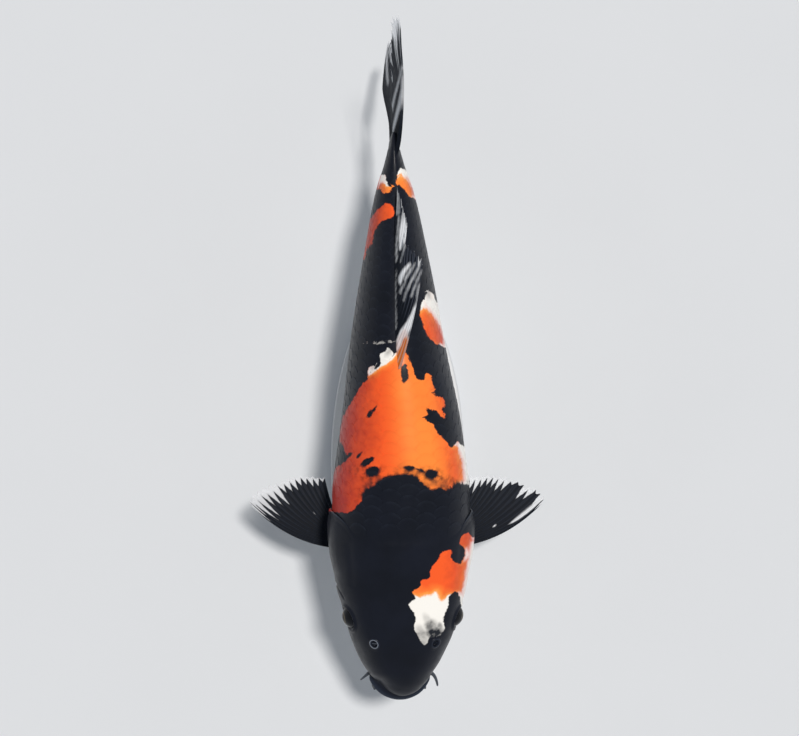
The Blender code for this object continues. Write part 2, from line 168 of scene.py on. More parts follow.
# ---------------- the fish's form
@dataclass(frozen=True)
class Body:
    """The bare form of the flesh, as the frame's solids have it, and its place in the world.

    Attributes:
        outline: rows (s, half width, back, widest line, belly) in mm, the last few of
            them the thin end that runs into the tail fin.
        back_squareness: exponent of the section above the widest line, along s.
        belly_squareness: the same below it.
        bend: sideways place of the axis along s.
        lean: turn of the section about the axis in degrees, back towards the fish's left.
        arc: length of a short arc of the section over its chord.
    """
    mouth_to_middle: float = 198.25  # from the mouth back to the world's middle
    axis_height: float = 93.0  # over the floor
    side_shift: float = 0.35
    snout: float = 1.6  # s of the foremost point
    outline: Rows = (
        (1.6, 0, -3.4, -3.5, -3.6), (2.6, 5.6, 0.2, -5, -9.5), (5.5, 11.2, 4.6, -7.5, -15),
        (9.5, 14.9, 8.4, -9.5, -18.8), (16, 18.8, 12.4, -10, -22.8), (25, 24.3, 17, -8, -26.6),
        (39, 30, 23, -4, -30.5), (54, 33.9, 28, -2, -33.5), (71, 38.4, 33, -1, -37),
        (90, 40.3, 38.5, -1, -40.2), (119, 40.3, 45.3, 0, -44), (150, 36.9, 49.8, 1, -46),
        (191, 30.8, 50.2, 2, -44), (231, 24.4, 43.5, 2, -36), (266, 18, 33.5, 1, -26.5),
        (291, 13, 25.5, 1, -20), (304, 9.5, 22.2, 1, -18.2), (311, 6.9, 20.9, 1, -17.6),
        (317, 5.2, 20.3, 1, -17.3), (322, 3.9, 19.8, 1, -16.8), (327, 3.2, 18.8, 1, -15.8),
        (331, 1.6, 17.2, 1, -14.2))
    back_squareness: Rows = ((0, 2.1), (40, 2.4), (100, 2.3), (160, 2.1), (260, 2.0), (317, 2.2))
    belly_squareness: Rows = ((0, 2.1), (40, 2.2), (100, 2.3), (160, 2.5), (260, 2.1), (317, 2.2))
    bend: Rows = (
        (0, 2), (60, 2), (112, 1.5), (165, 1.5), (205, -0.3), (260, -1.3), (322, -2.5), (360, -3),
        (400, -3))
    lean: Rows = ((0, 5.5), (130, 5.5), (190, 1.8), (220, 0.0), (400, 0.0))
    arc: float = 1.1

    def point(self, s: Array | float, angle: Array | float, out: Array | float = 0.0) -> Array:
        """Points on the body: u = half |cos|^(2/n), v = middle + rise |sin|^(2/n).

        Sizes are read as curves of sqrt(s - snout), which rounds the nose.

        Args:
            s: distance behind the mouth.
            angle: place round the section in degrees, 0 at the left side and 90 at the back.
            out: distance outside the form.
        Returns:
            Points (u, s, v).
        """
        s, angle, out = np.broadcast_arrays(*(np.asarray(a, dtype=float) for a in (s, angle, out)))
        table = np.array(self.outline)
        table[:, 0] = np.sqrt(table[:, 0] - self.snout)
        root = np.sqrt(np.clip(s - self.snout, 0, None))
        half, back, mid, belly = (smooth_curve(table, root, c) for c in (1, 2, 3, 4))
        c, d = np.cos(np.radians(angle)), np.sin(np.radians(angle))
        above, below = (smooth_curve(t, s) for t in (self.back_squareness, self.belly_squareness))
        square = np.where(d > 0, above, below)
        rise = np.where(d > 0, back - mid, mid - belly)
        u = (half + out) * np.sign(c) * np.abs(c) ** (2 / square)
        v = mid + (rise + out) * np.sign(d) * np.abs(d) ** (2 / square)
        return np.stack([u, s, v], axis=-1)

    def pose(self, points: Array) -> Array:
        """World places in metres of points (u, s, v): lean about the axis, then bend it."""
        u, s, v = np.moveaxis(np.asarray(points, dtype=float), -1, 0)
        lean = np.radians(smooth_curve(self.lean, s))
        x = self.side_shift + smooth_curve(self.bend, s) + u * np.cos(lean) + v * np.sin(lean)
        z = self.axis_height - u * np.sin(lean) + v * np.cos(lean)
        return np.stack([x, s - self.mouth_to_middle, z], axis=-1) * MM

    def drop(self, s: Array, angle: Array) -> Array:
        """Distance round the section below its widest line, negative above it."""
        turn = np.radians(angle)
        widest = self.point(s, np.where(np.cos(turn) < 0, 180.0, 0.0))
        return -np.sign(np.sin(turn)) * self.arc * np.linalg.norm(self.point(s, angle) - widest, axis=-1)


@dataclass(frozen=True)
class Girth:
    """Lengths round the body's sections, so that rows of scales keep an even share of them.

    The section is walked from the back down the left side; the share is the walked length
    over the whole, found on a table of stations and read between them in straight lines.
    """
    body: Body
    stations: Array = field(default_factory=lambda: np.linspace(40, 330, 146))
    steps: int = 361

    def tables(self) -> tuple[Array, Array]:
        """Girth at each station, and the angle at each of an even set of shares."""
        angle = np.linspace(90, -270, self.steps)
        ring = self.body.point(self.stations[:, None], angle[None, :])[..., (0, 2)]
        walked = np.cumsum(np.linalg.norm(np.diff(ring, axis=1), axis=-1), axis=1)
        walked = np.concatenate([np.zeros((len(walked), 1)), walked], axis=1)
        share = np.linspace(0, 1, self.steps)
        angles = np.array([np.interp(share, row / row[-1], angle) for row in walked])
        return walked[:, -1], angles

    def angle_at(self, tables: tuple[Array, Array], s: Array, share: Array) -> Array:
        """Angle of places at a share of the girth from the back, read between four table values.

        Args:
            tables: what tables() gives.
            s: the places' distance behind the mouth.
            share: their share of the girth.
        Returns:
            Their angles in degrees.
        """
        angles = tables[1]
        first, second = self.stations[:2]
        row = np.clip((s - first) / (second - first), 0, len(self.stations) - 1.001)
        turns = np.floor(share)
        column = (share - turns) * (self.steps - 1)
        i, j = row.astype(int), np.minimum(column.astype(int), self.steps - 2)
        f, g = row - i, column - j
        upper = angles[i, j] * (1 - g) + angles[i, j + 1] * g
        lower = angles[i + 1, j] * (1 - g) + angles[i + 1, j + 1] * g
        return upper * (1 - f) + lower * f - 360 * turns


# ---------------- markings
@dataclass(frozen=True)
class Markings:
    """Black, orange and white patches, laid out in plan: (across to the left, along from the mouth), mm.

    An onlooker above the fish's middle sees them in plan; below the widest line they go on
    down the flank. Black covers all but the open patches, and white patches cover the
    orange. The belly is white below a line down each flank. Spots are left to the finish.
    """
    onlooker: float = 1100.0  # height of the onlooker above the axis
    middle: Pair = (1.1, -3.0)  # world place below the onlooker
    zero: Pair = (-1.17, 195.3)  # plan place of that point
    open_patches: tuple[Rows, ...] = (
        ((0.5, 206.5), (-4.5, 203), (-11.5, 197.5), (-16, 193.5), (-19.5, 192), (-19, 189), (-22.5, 186),
         (-26, 181.5), (-28.5, 176), (-32, 171.5), (-34.5, 165), (-36, 159), (-36, 153.5),
         (-33.5, 147.5), (-30.5, 143.5), (-32.5, 140.5), (-37, 138), (-47, 133), (-56, 122), (-50, 112),
         (-39, 111.5), (-32, 109.5), (-28.5, 112), (-25, 115), (-23, 120), (-22, 124), (-18, 126),
         (-13, 129), (-7, 132), (-2, 132.5), (5, 133), (9, 130.5), (13.5, 126.5), (17, 124),
         (22.5, 124.5), (27, 122.5), (29, 125), (30, 128.5), (34, 128), (37, 127), (60, 124),
         (60, 149.5), (36, 148.5), (32.5, 152.5), (31, 150.5), (29, 148.5), (25.5, 151.5), (22.5, 155.5),
         (18.5, 162), (14.5, 164), (11, 165.5), (16.5, 168), (13.5, 172), (18.5, 171.5), (22.5, 168.5),
         (25.5, 166), (26.5, 168.5), (23, 171), (25.5, 175), (23, 178.5), (19, 179), (16.5, 181),
         (20.5, 182), (18.5, 186), (17, 191.5), (14, 192.5), (13.5, 188), (9, 188.5), (7.5, 192),
         (5.5, 198), (3, 203.5)),
        ((10.8, 67.4), (7.3, 65.4), (6.4, 64.2), (7.3, 62.1), (8.5, 60.7), (6.7, 59.2), (4.1, 57.5),
         (5.5, 55.1), (6.7, 52.2), (8.2, 49.3), (7.9, 47), (7, 45.2), (7.9, 41.7), (9.6, 38.8),
         (11.4, 35.9), (13.1, 33.2), (14.9, 34.7), (15.2, 36.6), (16.5, 38.2), (19.5, 38.6),
         (22.5, 39.2), (24.2, 41.7), (25.1, 44), (24.5, 47.6), (24.8, 50.5), (26, 53.4), (27.2, 57.5),
         (27.7, 61), (29.5, 63.6), (31.2, 64.8), (33, 64.2), (34.2, 61), (34.7, 57.5), (36, 54.6),
         (70, 52), (70, 92), (42, 96), (38.5, 99.5), (34, 96), (34.5, 92), (37, 90), (37.5, 86),
         (36, 83), (34, 80.5), (31, 82), (28.5, 84.5), (29.5, 88), (28.5, 89.5), (23, 87.5), (21.5, 83),
         (17, 78.5), (16.5, 72.5), (11, 71.5)),
        ((15, 241), (18.5, 239), (21, 233), (30, 229), (44, 208), (26, 207.5), (24.5, 207.5), (21, 209),
         (17, 212), (14, 215.5), (13, 221.5), (10.5, 226), (10.5, 230), (11.5, 232.5), (13.5, 237.5)),
        ((-4.4, 290.5), (-10.5, 291.5), (-14, 288.5), (-17, 283.5), (-26, 278), (-34, 259),
         (-22.6, 257.5), (-19.6, 264), (-16.8, 270), (-16.2, 274.5), (-13.8, 279.3), (-9.8, 282.7),
         (-4.6, 284)),
        ((-3, 308.5), (-1.5, 312), (2.5, 311), (6, 307.5), (18, 302), (18, 292), (8, 294), (4.5, 295.5),
         (0.5, 300.5), (-2.5, 303)),
        ((-5, 301.2), (-7.6, 302.2), (-8.8, 305.4), (-9.4, 307.8), (-12.5, 308), (-22, 303.5),
         (-22, 300.5), (-13, 300), (-9.4, 297.8), (-5, 298.8)))
    white_patches: tuple[Rows, ...] = (
        ((4.4, 57.5), (6.7, 59.2), (8.5, 60.4), (10.8, 61.6), (13.7, 62.4), (16.6, 62.7), (18.4, 63.3),
         (19.6, 64.5), (20.7, 64.5), (21.6, 62.1), (22.5, 59.2), (24.2, 59.8), (26.6, 60.4),
         (27.7, 61.6), (30, 58), (28, 30), (3, 30)),
        ((40.4, 95), (70, 97), (70, 50), (34, 50), (34.3, 60), (35.4, 65.5), (37.2, 75), (38.6, 84),
         (39.4, 90)),
        ((31.6, 151.8), (60, 150), (60, 124), (37.2, 125.5), (35.7, 129), (35.3, 139), (33.9, 146)),
        ((15, 241), (18.5, 239), (21, 233), (30, 229), (44, 206), (24.9, 206.5), (23.9, 212),
         (21.9, 219.5), (18.2, 226.5), (15, 230.2), (11.5, 230.5), (13.5, 237.5)),
        ((-2.5, 310), (-1.5, 313.5), (3, 312), (18, 300), (18, 293), (8, 294.5), (6, 301.5), (2.5, 307),
         (-1.5, 309)),
        ((-8.5, 303), (-9, 308), (-12.5, 310), (-22, 305), (-12, 303)))
    pale_bits: tuple[Rows, ...] = (
        ((-4.5, 203), (-5, 204.5), (-7.5, 207.5), (-9, 205), (-13, 203.5), (-12.5, 201), (-11.5, 197.5),
         (-6.5, 200.5)),
        ((-14, 199.5), (-15, 197), (-18.5, 195.5), (-19.5, 192), (-16, 194)),
        ((-24, 209.6), (-16, 209.7), (-11, 210.1), (-4.5, 210.9), (-3, 211.5), (-8, 211.2),
         (-14.5, 210.3)))
    spots: Rows = (  # across, along, width, length, turn of the length from across, degrees
        (1.9, 192.2, 4.4, 10.6, 90), (-18.9, 168.1, 3.2, 5.3, 60), (-15.8, 171.4, 1.5, 4.7, 55),
        (-30.3, 144.3, 2.3, 4.1, 50), (-25.2, 143.9, 1.5, 4.1, 45), (-19.9, 140.6, 3.8, 8.8, 30),
        (-16.9, 135.1, 5.5, 8.2, 25), (5, 136.9, 2.7, 5.8, 0), (11, 135.6, 0.9, 6.4, -20),
        (17.7, 133.5, 4.7, 7.4, -15))
    # one cloud, the long one over the rear crescent on the fish's right, is painted shade, not grey pigment
    clouds: Rows = (  # the same with a strength: grey under clear skin
        (17, 45, 8, 9, 40, 0.72), (19.8, 40.4, 9, 14, 5, 1), (22.4, 44.2, 4, 6, 100, 0.6),
        (12.2, 38.2, 9, 15, 114, 0.6), (15, 48.6, 5, 9, 120, 0.25), (-11, 210.5, 5, 24, 5, 0.8),
        # (-14.5, 276) darkens the rear orange crescent: painted shade
        (-7.5, 205, 4, 7, 50, 0.5), (-14.5, 276, 12, 36, 68, 0.25), (-16, 196, 3, 6, 40, 0.4),
        (15.5, 238.5, 4, 7, 100, 0.45), (-17, 127.5, 7, 15, 25, 0.55), (22, 128, 6, 17, -8, 0.45),
        (8, 134.5, 4, 12, -8, 0.35))
    black_limit: tuple[Rows, Rows] = (  # fish's left and right: how far below the widest line black goes
        ((0, 12), (35, 16), (56, 9), (62, -6), (94, -6), (101, 20), (118, 24), (126, -2), (149, -2),
         (156, 14), (200, 17), (226, 10), (234, 3), (245, 10), (290, 12), (330, 30)),
        ((0, 12), (35, 16), (60, 20), (104, 24), (150, 20), (200, 16), (256, 11), (266, 6), (290, 8),
         (330, 30)))
    white_below: tuple[Rows, Rows] = (  # the same for orange
        ((0, 0), (200, 0), (240, 4), (330, 6)),
        ((0, 8), (140, 11), (250, 7), (330, 6)))
    # waves of patches' lower ends and of the belly line: height, turn per mm of drop and of s, by side, start
    waver: Rows = ((1.9, 0.31, 0.11, 0, 0), (1.2, 0.17, -0.29, 1, 0))
    uneven: Rows = ((2.2, 0, 0.13, 1, 0), (1.5, 0, 0.37, 0, 0), (0.8, 0, 0.83, 0, 2))
    waver_grows: Pair = (0.0, 8.0)  # drops over which those set in
    uneven_grows: Pair = (-4.0, 4.0)
    flank_stretch: float = 0.8  # way across in plan for each mm down the flank
    meet: float = 2.2  # how far white reaches out to black that is
    meet_near: float = 2.5  # this near
    deepest: float = 30.0  # limit of the depths that the lower ends give
    cloud_fade: Pair = (1.25, 0.4)  # from none to full, in shares of its half size
    # painted shade: this moves the flank measure to the fish's left, so its right flank, away from the key
    # light, darkens sooner
    lit_side_shift: float = 0.08  # place the flanks are measured from, in half widths to the left
    # set towards the fish's left, where the key light falls: the yellow band is partly a painted highlight
    yellow_lit_ridge: float = 0.22  # middle of the yellow band
    yellow_fade: Rows = ((0.65, 0.12), (115, 132), (214, 200), (290, 297))  # across, then along s
    yellow_rear: float = 0.9
    deep_black: float = 0.95
    deep_fade: Rows = ((117, 122), (141, 132))  # where black lies deep in the skin, in plan

    def plan(self, body: Body, points: Array) -> tuple[Array, Array]:
        """Plan places of fish-frame points: straight lines from the onlooker, cut at the axis' height."""
        x, y, z = np.moveaxis(body.pose(points) / MM, -1, 0)
        spread = self.onlooker / (self.onlooker - (z - body.axis_height))
        return (x - self.middle[0]) * spread + self.zero[0], (y - self.middle[1]) * spread + self.zero[1]

    def measure(self, body: Body, s: Array, angle: Array, points: Array) -> dict[str, Array]:
        """How deep each point lies in black and in white, in mm, negative outside them.

        Args:
            body: the fish's form.
            s: distance of each point behind the mouth.
            angle: its place round the section.
            points: the points (u, s, v) themselves.
        Returns:
            Fields "black" and "white"; "plan" places; "flank" from 0 at a line a little to the left
            of the ridge of the back to 1 at the widest line and on below it, so that the painted shade
            of the flanks comes sooner on the fish's right; "warm", "cloud" and "sashi", the strength
            of yellow, partly a painted highlight on the lit ridge, of grey, in one cloud painted
            shade, and of black pigment that lies deep; "lip" and "net", zero so far.
        """
        drop = body.drop(s, angle)
        side = np.where(np.cos(np.radians(angle)) < 0, -1.0, 1.0)
        widest = body.point(s, np.where(side < 0, 180.0, 0.0))
        above, below = self.plan(body, points), self.plan(body, widest)
        waver, uneven = (waves(rows, drop, s, side, 1.0) for rows in (self.waver, self.uneven))
        across = np.where(drop > 0, below[0] + side * self.flank_stretch * drop, above[0])
        along = np.where(drop > 0, below[1] + waver * ease(drop, *self.waver_grows), above[1])
        opened, white, pale = (np.max([depth_inside(across, along, o) for o in outlines], axis=0)
                               for outlines in (self.open_patches, self.white_patches, self.pale_bits))
        uneven = uneven * ease(drop, *self.uneven_grows)
        limit, belly = (np.where(side > 0, *(smooth_curve(t, s) for t in both)) + uneven
                        for both in (self.black_limit, self.white_below))
        under_black, under_white = (np.clip(depth, -self.deepest, self.deepest)
                                    for depth in (limit - drop, drop - belly))
        black = np.minimum(-np.maximum(opened, pale), under_black)
        white = np.maximum(np.maximum(white, pale), under_white)
        white = white + self.meet * ease(black, -self.meet_near, 0)
        off = (above[0] - self.plan(body, body.point(s, 90.0))[0]) / np.abs(widest[..., 0]).clip(1)
        over, rise, fall, rear = self.yellow_fade
        warm = ease(np.abs(off - self.yellow_lit_ridge), *over) * ease(s, *rise) * ease(s, *fall)
        rise, fall = (ease(along, *fade) for fade in self.deep_fade)
        return {"black": black, "white": white, "flank": np.abs(off - self.lit_side_shift),
                "cloud": self.cloud(across, along), "sashi": self.deep_black * rise * fall,
                "warm": np.maximum(warm, self.yellow_rear * ease(s, *rear)),
                "plan": np.stack([across, along, 0 * across], axis=-1), "lip": 0 * across, "net": 0 * across}

    def cloud(self, across: Array, along: Array) -> Array:
        """The strongest of the clouds at plan places, each fading from its middle to past its rim."""
        cloud = 0 * across
        for a, b, width, length, turn, strength in self.clouds:
            c, d = math.cos(math.radians(turn)), math.sin(math.radians(turn))
            run, off = (across - a) * c + (along - b) * d, (along - b) * c - (across - a) * d
            reach = np.hypot(2 * run / length, 2 * off / width)
            cloud = np.maximum(cloud, strength * ease(reach, *self.cloud_fade))
        return cloud


# ---------------- meshes
def grid_faces(rows: int, columns: int, wrap: bool) -> tuple[Array, Array]:
    """Quads of a grid of points, row by row, with the grid place of each corner.

    Args:
        rows: number of rows of points.
        columns: number of points in a row.
        wrap: whether each row is closed.
    Returns:
        Faces (n, 4) of point numbers and places (n, 4, 2), columns first, from 0 to 1.
    """
    r, c = np.meshgrid(np.arange(rows - 1), np.arange(columns if wrap else columns - 1), indexing="ij")
    r, c = r.ravel()[:, None], c.ravel()[:, None]
    corner_r, corner_c = r + np.array([0, 0, 1, 1]), c + np.array([0, 1, 1, 0])
    places = np.stack([corner_c / (columns if wrap else columns - 1), corner_r / (rows - 1)], axis=-1)
    return corner_r * columns + corner_c % columns, places


def capped_tube(rows: int, columns: int) -> list:
    """Faces of rings joined into a tube, with one many-sided face at each end."""
    ends = [list(range(columns)), list(range((rows - 1) * columns, rows * columns))]
    return grid_faces(rows, columns, True)[0].tolist() + ends


def rim_of(numbers: Array) -> Array:
    """Point numbers round the outside of a grid, in order."""
    return np.concatenate([numbers[0, :-1], numbers[:-1, -1], numbers[-1, :0:-1], numbers[:0:-1, 0]])


def plate_faces(rows: int, columns: int) -> Array:
    """Faces of a closed plate: a grid, the same grid below it turned over, and the rim between."""
    top, count = grid_faces(rows, columns, False)[0], rows * columns
    rim = rim_of(np.arange(count).reshape(rows, columns))
    after = np.roll(rim, -1)
    band = np.stack([rim, rim + count, after + count, after], axis=1)
    return np.concatenate([top, top[:, ::-1] + count, band])


def linked(name: str, data: bpy.types.ID) -> Piece:
    """A new object in the scene."""
    thing = bpy.data.objects.new(name, data)
    bpy.context.scene.collection.objects.link(thing)
    return thing


def new_piece(name: str, points: Array, faces: list | Array, material: Material, slot: str, *nodes: str,
              fields: dict[str, Array] | None = None, maps: dict[str, Array] | None = None,
              sharp: float = 50.0) -> None:
    """A piece that rides on the one body, its faces turned so that its volume is positive.

    Args:
        name: the piece's name.
        points: places (..., 3) in metres in the world.
        faces: rows of point numbers, an array or a list of rows of mixed lengths.
        material: its finish.
        slot: its material slot in the frame; not used.
        nodes: the frame nodes it stands for.
        fields: one number, or three, per point under each name.
        maps: one place (corners, 2) per face corner under each name.
        sharp: angle in degrees past which an edge stays crisp.
    """
    points = points.reshape(-1, 3)
    mesh = bpy.data.meshes.new(name)
    mesh.from_pydata(points, [], faces.tolist() if isinstance(faces, np.ndarray) else faces)
    for key, places in (maps or {}).items():
        mesh.uv_layers.new(name=key).data.foreach_set("uv", places.astype(np.float32).ravel())
    for key, values in (fields or {}).items():
        kind, part = ("FLOAT_VECTOR", "vector") if values.size == 3 * len(points) else ("FLOAT", "value")
        mesh.attributes.new(key, kind, "POINT").data.foreach_set(part, values.astype(np.float32).ravel())
    mesh.calc_loop_triangles()
    corners = np.zeros(len(mesh.loop_triangles) * 3, dtype=np.int32)
    mesh.loop_triangles.foreach_get("vertices", corners)
    a, b, c = np.moveaxis(points[corners.reshape(-1, 3)], 1, 0)
    if np.einsum("ij,ij->i", a, np.cross(b, c)).sum() < 0:
        mesh.flip_normals()
    mesh.shade_smooth()
    mesh.set_sharp_from_angle(angle=math.radians(sharp))
    mesh.materials.append(material)
    thing = linked(name, mesh)
    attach(thing, "root")
    if nodes:
        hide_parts(*nodes)
    LOG.info("%s: %d points, %d faces", name, len(points), len(mesh.polygons))


# ---------------- finishes
def colour(code: str) -> Quad:
    """Linear RGBA of an sRGB hex colour."""
    parts = [int(code[i:i + 2], 16) / 255 for i in (1, 3, 5)]
    red, green, blue = (p / 12.92 if p <= 0.04045 else ((p + 0.055) / 1.055) ** 2.4 for p in parts)
    return red, green, blue, 1.0


class Nodes:
    """A material and its nodes, which add() wires up one by one."""

    def __init__(self, name: str, **sockets: float) -> None:
        """Start a material, its shader's own values set by socket name, blanks written as underscores."""
        self.material = bpy.data.materials.new(name)
        self.material.use_nodes = True
        self.tree = self.material.node_tree
        self.shader = self.tree.nodes["Principled BSDF"]
        for key, value in sockets.items():
            self.shader.inputs[key.replace("_", " ")].default_value = value

    def add(self, kind: str, inputs: dict | None = None, out: str = "", **settings) -> Socket:
        """Add one node.

        Args:
            kind: the node's type after "ShaderNode".
            inputs: what goes into each input: a value, a "#" colour or another node's output.
            out: name of the output to hand back, or blank for the first that is in use.
            settings: the node's own settings.
        Returns:
            The node's output.
        """
        node = self.tree.nodes.new("ShaderNode" + kind)
        for key, value in settings.items():
            setattr(node, key, value)
        for key, value in (inputs or {}).items():
            if isinstance(value, Socket):
                self.tree.links.new(value, node.inputs[key])
            else:
                node.inputs[key].default_value = colour(value) if isinstance(value, str) else value
        return node.outputs[out] if out else next(o for o in node.outputs if o.enabled)

    def finish(self, **links: Socket) -> Material:
        """Link outputs to the shader's sockets, blanks written as underscores, and hand back the material."""
        for key, value in links.items():
            self.tree.links.new(value, self.shader.inputs[key.replace("_", " ")])
        return self.material


@dataclass(frozen=True)
class WetSkin:
    """Living carp skin, clear mucus over pigment: soft gloss over deep, slightly mottled colour.

    Patches meet in sharp, slightly ragged edges. Black has a cool cast; orange is yellower
    on the ridge and beside white, and redder and darker down the flanks. The yellow of the ridge
    is partly a painted highlight, set towards the fish's lit left side, and the dark flanks are
    partly painted shade, deeper on its right. Scales add a dim net along their free edges and
    fine growth lines; bare skin has fine pores.
    """
    name: str
    scaled: bool
    spots: Rows  # across, along, width, length, turn of the length from across
    black: str = "#101319"
    black_cool: str = "#1B1F2B"
    orange: str = "#F8602B"
    # yellow of the ridge: partly pigment, partly a painted highlight of the key light
    orange_ridge_lit: str = "#FF8C3C"
    # dark red of the flanks: partly pigment, partly painted shade
    orange_flank_shaded: str = "#B03228"
    white: str = "#F8F6F1"
    fringe: str = "#FFB25E"
    # pink at white's edge down the flank: partly translucent skin, partly painted shade
    blush_and_shade: str = "#ECABA5"
    under: str = "#3E2619"
    # grey of the clouds; over the rear crescent it is painted shade
    cloud: str = "#24272E"
    # bluish grey of the lip rim and the gill covers' edge, partly a painted highlight; it also paints the
    # pale net on black
    lip: str = "#333B49"
    # pale ring round a nostril: partly a painted highlight
    ring: str = "#A2A9B4"
    net_brown: str = "#7A2A14"
    relief: float = 0.0004  # metres

    def spotted(self, n: Nodes, black: Socket) -> Socket:
        """Depth in black with the spots added: half a spot's width less its share of the way to its rim.

        Args:
            n: the material's nodes.
            black: depth in black so far.
        Returns:
            The deeper of the two.
        """
        plan = n.add("Attribute", attribute_name="plan", out="Vector")
        for across, along, width, length, turn in self.spots:
            place_in = n.add("Mapping", {"Vector": plan, "Location": (across, along, 0.0),
                                         "Rotation": (0.0, 0.0, math.radians(turn)),
                                         "Scale": (0.5 * length, 0.5 * width, FLAT)}, vector_type="TEXTURE")
            reach = n.add("VectorMath", {0: place_in}, "Value", operation="LENGTH")
            depth = n.add("Math", {0: reach, 1: -0.5 * width, 2: 0.5 * width}, operation="MULTIPLY_ADD")
            black = n.add("Math", {0: black, 1: depth}, operation="MAXIMUM")
        return black

    def build(self) -> Material:
        """Make the material from the fields that the mesh carries."""
        n = Nodes(self.name, IOR=1.36, Specular_IOR_Level=0.15, Coat_Weight=0.1, Coat_Roughness=0.2,
                  Coat_IOR=1.33)
        where = n.add("TexCoord", out="Object")
        black, white, flank, warm, lip, net, cloud, sashi = (
            n.add("Attribute", attribute_name=key, out="Fac")
            for key in ("black", "white", "flank", "warm", "lip", "net", "cloud", "sashi"))
        # mottling about 20 mm, 4 mm and 1 mm across; the finer two make the edges of patches ragged
        broad, clumps, grains = (n.add("TexNoise", {"Vector": where, "Scale": scale, "Detail": detail})
                                 for scale, detail in ((45.0, 3.0), (250.0, 2.0), (900.0, 2.0)))
        ragged = n.add("Math", {0: clumps, 1: 2.0, 2: -1.45}, operation="MULTIPLY_ADD")
        ragged = n.add("Math", {0: grains, 1: 0.9, 2: ragged}, operation="MULTIPLY_ADD")
        black = n.add("Math", {0: self.spotted(n, black), 1: ragged}, operation="ADD")
        white = n.add("Math", {0: white, 1: ragged}, operation="ADD")
        # edges of black fade over 0.7 mm, behind the nape over 1.8 mm; those of white over 1.8 mm
        soft = n.add("Math", {0: sashi, 1: -1.1, 2: -0.35}, operation="MULTIPLY_ADD")
        in_black = n.add("MapRange", {0: black, 1: soft, 2: 0.35}, interpolation_type="SMOOTHSTEP")
        in_white = n.add("MapRange", {0: white, 1: -0.9, 2: 0.9}, interpolation_type="SMOOTHSTEP")
        # orange: yellower on the ridge and, above the slope of the flank, within 6 mm of white; the ridge's
        # yellow is partly a painted highlight where the key light falls
        slope = n.add("MapRange", {0: flank, 1: 0.85, 2: 0.55})
        uneven = n.add("Math", {0: broad, 1: 1.2, 2: 0.3}, operation="MULTIPLY_ADD")
        warm = n.add("Math", {0: warm, 1: uneven}, operation="MULTIPLY", use_clamp=True)
        yellow = n.add("MapRange", {0: white, 1: -6.0, 2: -1.0, 4: 0.95})
        yellow = n.add("Math", {0: yellow, 1: slope}, operation="MULTIPLY")
        yellow = n.add("Math", {0: warm, 1: yellow}, operation="MAXIMUM")
        # redder and darker down the flanks: partly pigment, partly painted shade of flanks turned from the
        # light
        down = n.add("Math", {0: broad, 1: 0.5, 2: flank}, operation="MULTIPLY_ADD")
        down = n.add("Math", {0: clumps, 1: 0.35, 2: down}, operation="MULTIPLY_ADD")
        down = n.add("MapRange", {0: down, 1: 0.9, 2: 1.52})
        skin = n.add("Mix", {0: yellow, 6: self.orange, 7: self.orange_ridge_lit}, data_type="RGBA")
        skin = n.add("Mix", {0: down, 6: skin, 7: self.orange_flank_shaded}, data_type="RGBA")
        fringe = n.add("MapRange", {0: white, 1: -2.6, 2: -0.4, 4: 0.6})
        fringe = n.add("Math", {0: fringe, 1: slope}, operation="MULTIPLY")
        skin = n.add("Mix", {0: fringe, 6: skin, 7: self.fringe}, data_type="RGBA")
        # white: clean above and in its middle, pink at its edge down the flank, partly translucent skin and
        # partly painted shade where the flank turns away
        inner = n.add("MapRange", {0: white, 1: -0.5, 2: 2.2})
        side = n.add("MapRange", {0: flank, 1: 1.02, 2: 0.92})
        inner = n.add("Math", {0: inner, 1: side}, operation="MULTIPLY")
        inner = n.add("Math", {0: inner, 1: slope}, operation="MAXIMUM")
        core = n.add("MapRange", {0: white, 1: 2.5, 2: 8.0})
        inner = n.add("Math", {0: inner, 1: core}, operation="MAXIMUM")
        pale = n.add("Mix", {0: inner, 6: self.blush_and_shade, 7: self.white}, data_type="RGBA")
        skin = n.add("Mix", {0: in_white, 6: skin, 7: pale}, data_type="RGBA")
        # black pigment that lies deep shows brown and grey through the skin above it
        deep = n.add("MapRange", {0: black, 1: -3.6, 2: 0.0})
        deep = n.add("Math", {0: deep, 1: sashi}, operation="MULTIPLY")
        patchy = n.add("MapRange", {0: clumps, 1: 0.38, 2: 0.6})
        deep = n.add("Math", {0: deep, 1: patchy}, operation="MULTIPLY")
        skin = n.add("Mix", {0: deep, 6: skin, 7: self.under}, data_type="RGBA")
        # grey clouds under clear skin; the one over the rear crescent is painted shade
        cloudy = n.add("MapRange", {0: patchy, 3: 0.72, 4: 1.12})
        cloudy = n.add("Math", {0: cloud, 1: cloudy}, operation="MULTIPLY", use_clamp=True)
        skin = n.add("Mix", {0: cloudy, 6: skin, 7: self.cloud}, data_type="RGBA")
        # a scale's free edge is darker on the patches and paler on black: a dim net, clearer on the flanks;
        # the pale net on black is partly a painted sheen along the edges
        dim = n.add("MapRange", {0: clumps, 1: 0.35, 2: 0.65, 3: 0.02, 4: 0.11})
        net = n.add("Math", {0: net, 1: dim}, operation="MULTIPLY")
        clearer = n.add("MapRange", {0: flank, 1: 0.55, 2: 1.1, 3: 1.0, 4: 2.4})
        net = n.add("Math", {0: net, 1: clearer}, operation="MULTIPLY")
        skin = n.add("Mix", {0: net, 6: skin, 7: self.net_brown}, data_type="RGBA")
        dark = n.add("Mix", {0: broad, 6: self.black, 7: self.black_cool}, data_type="RGBA")
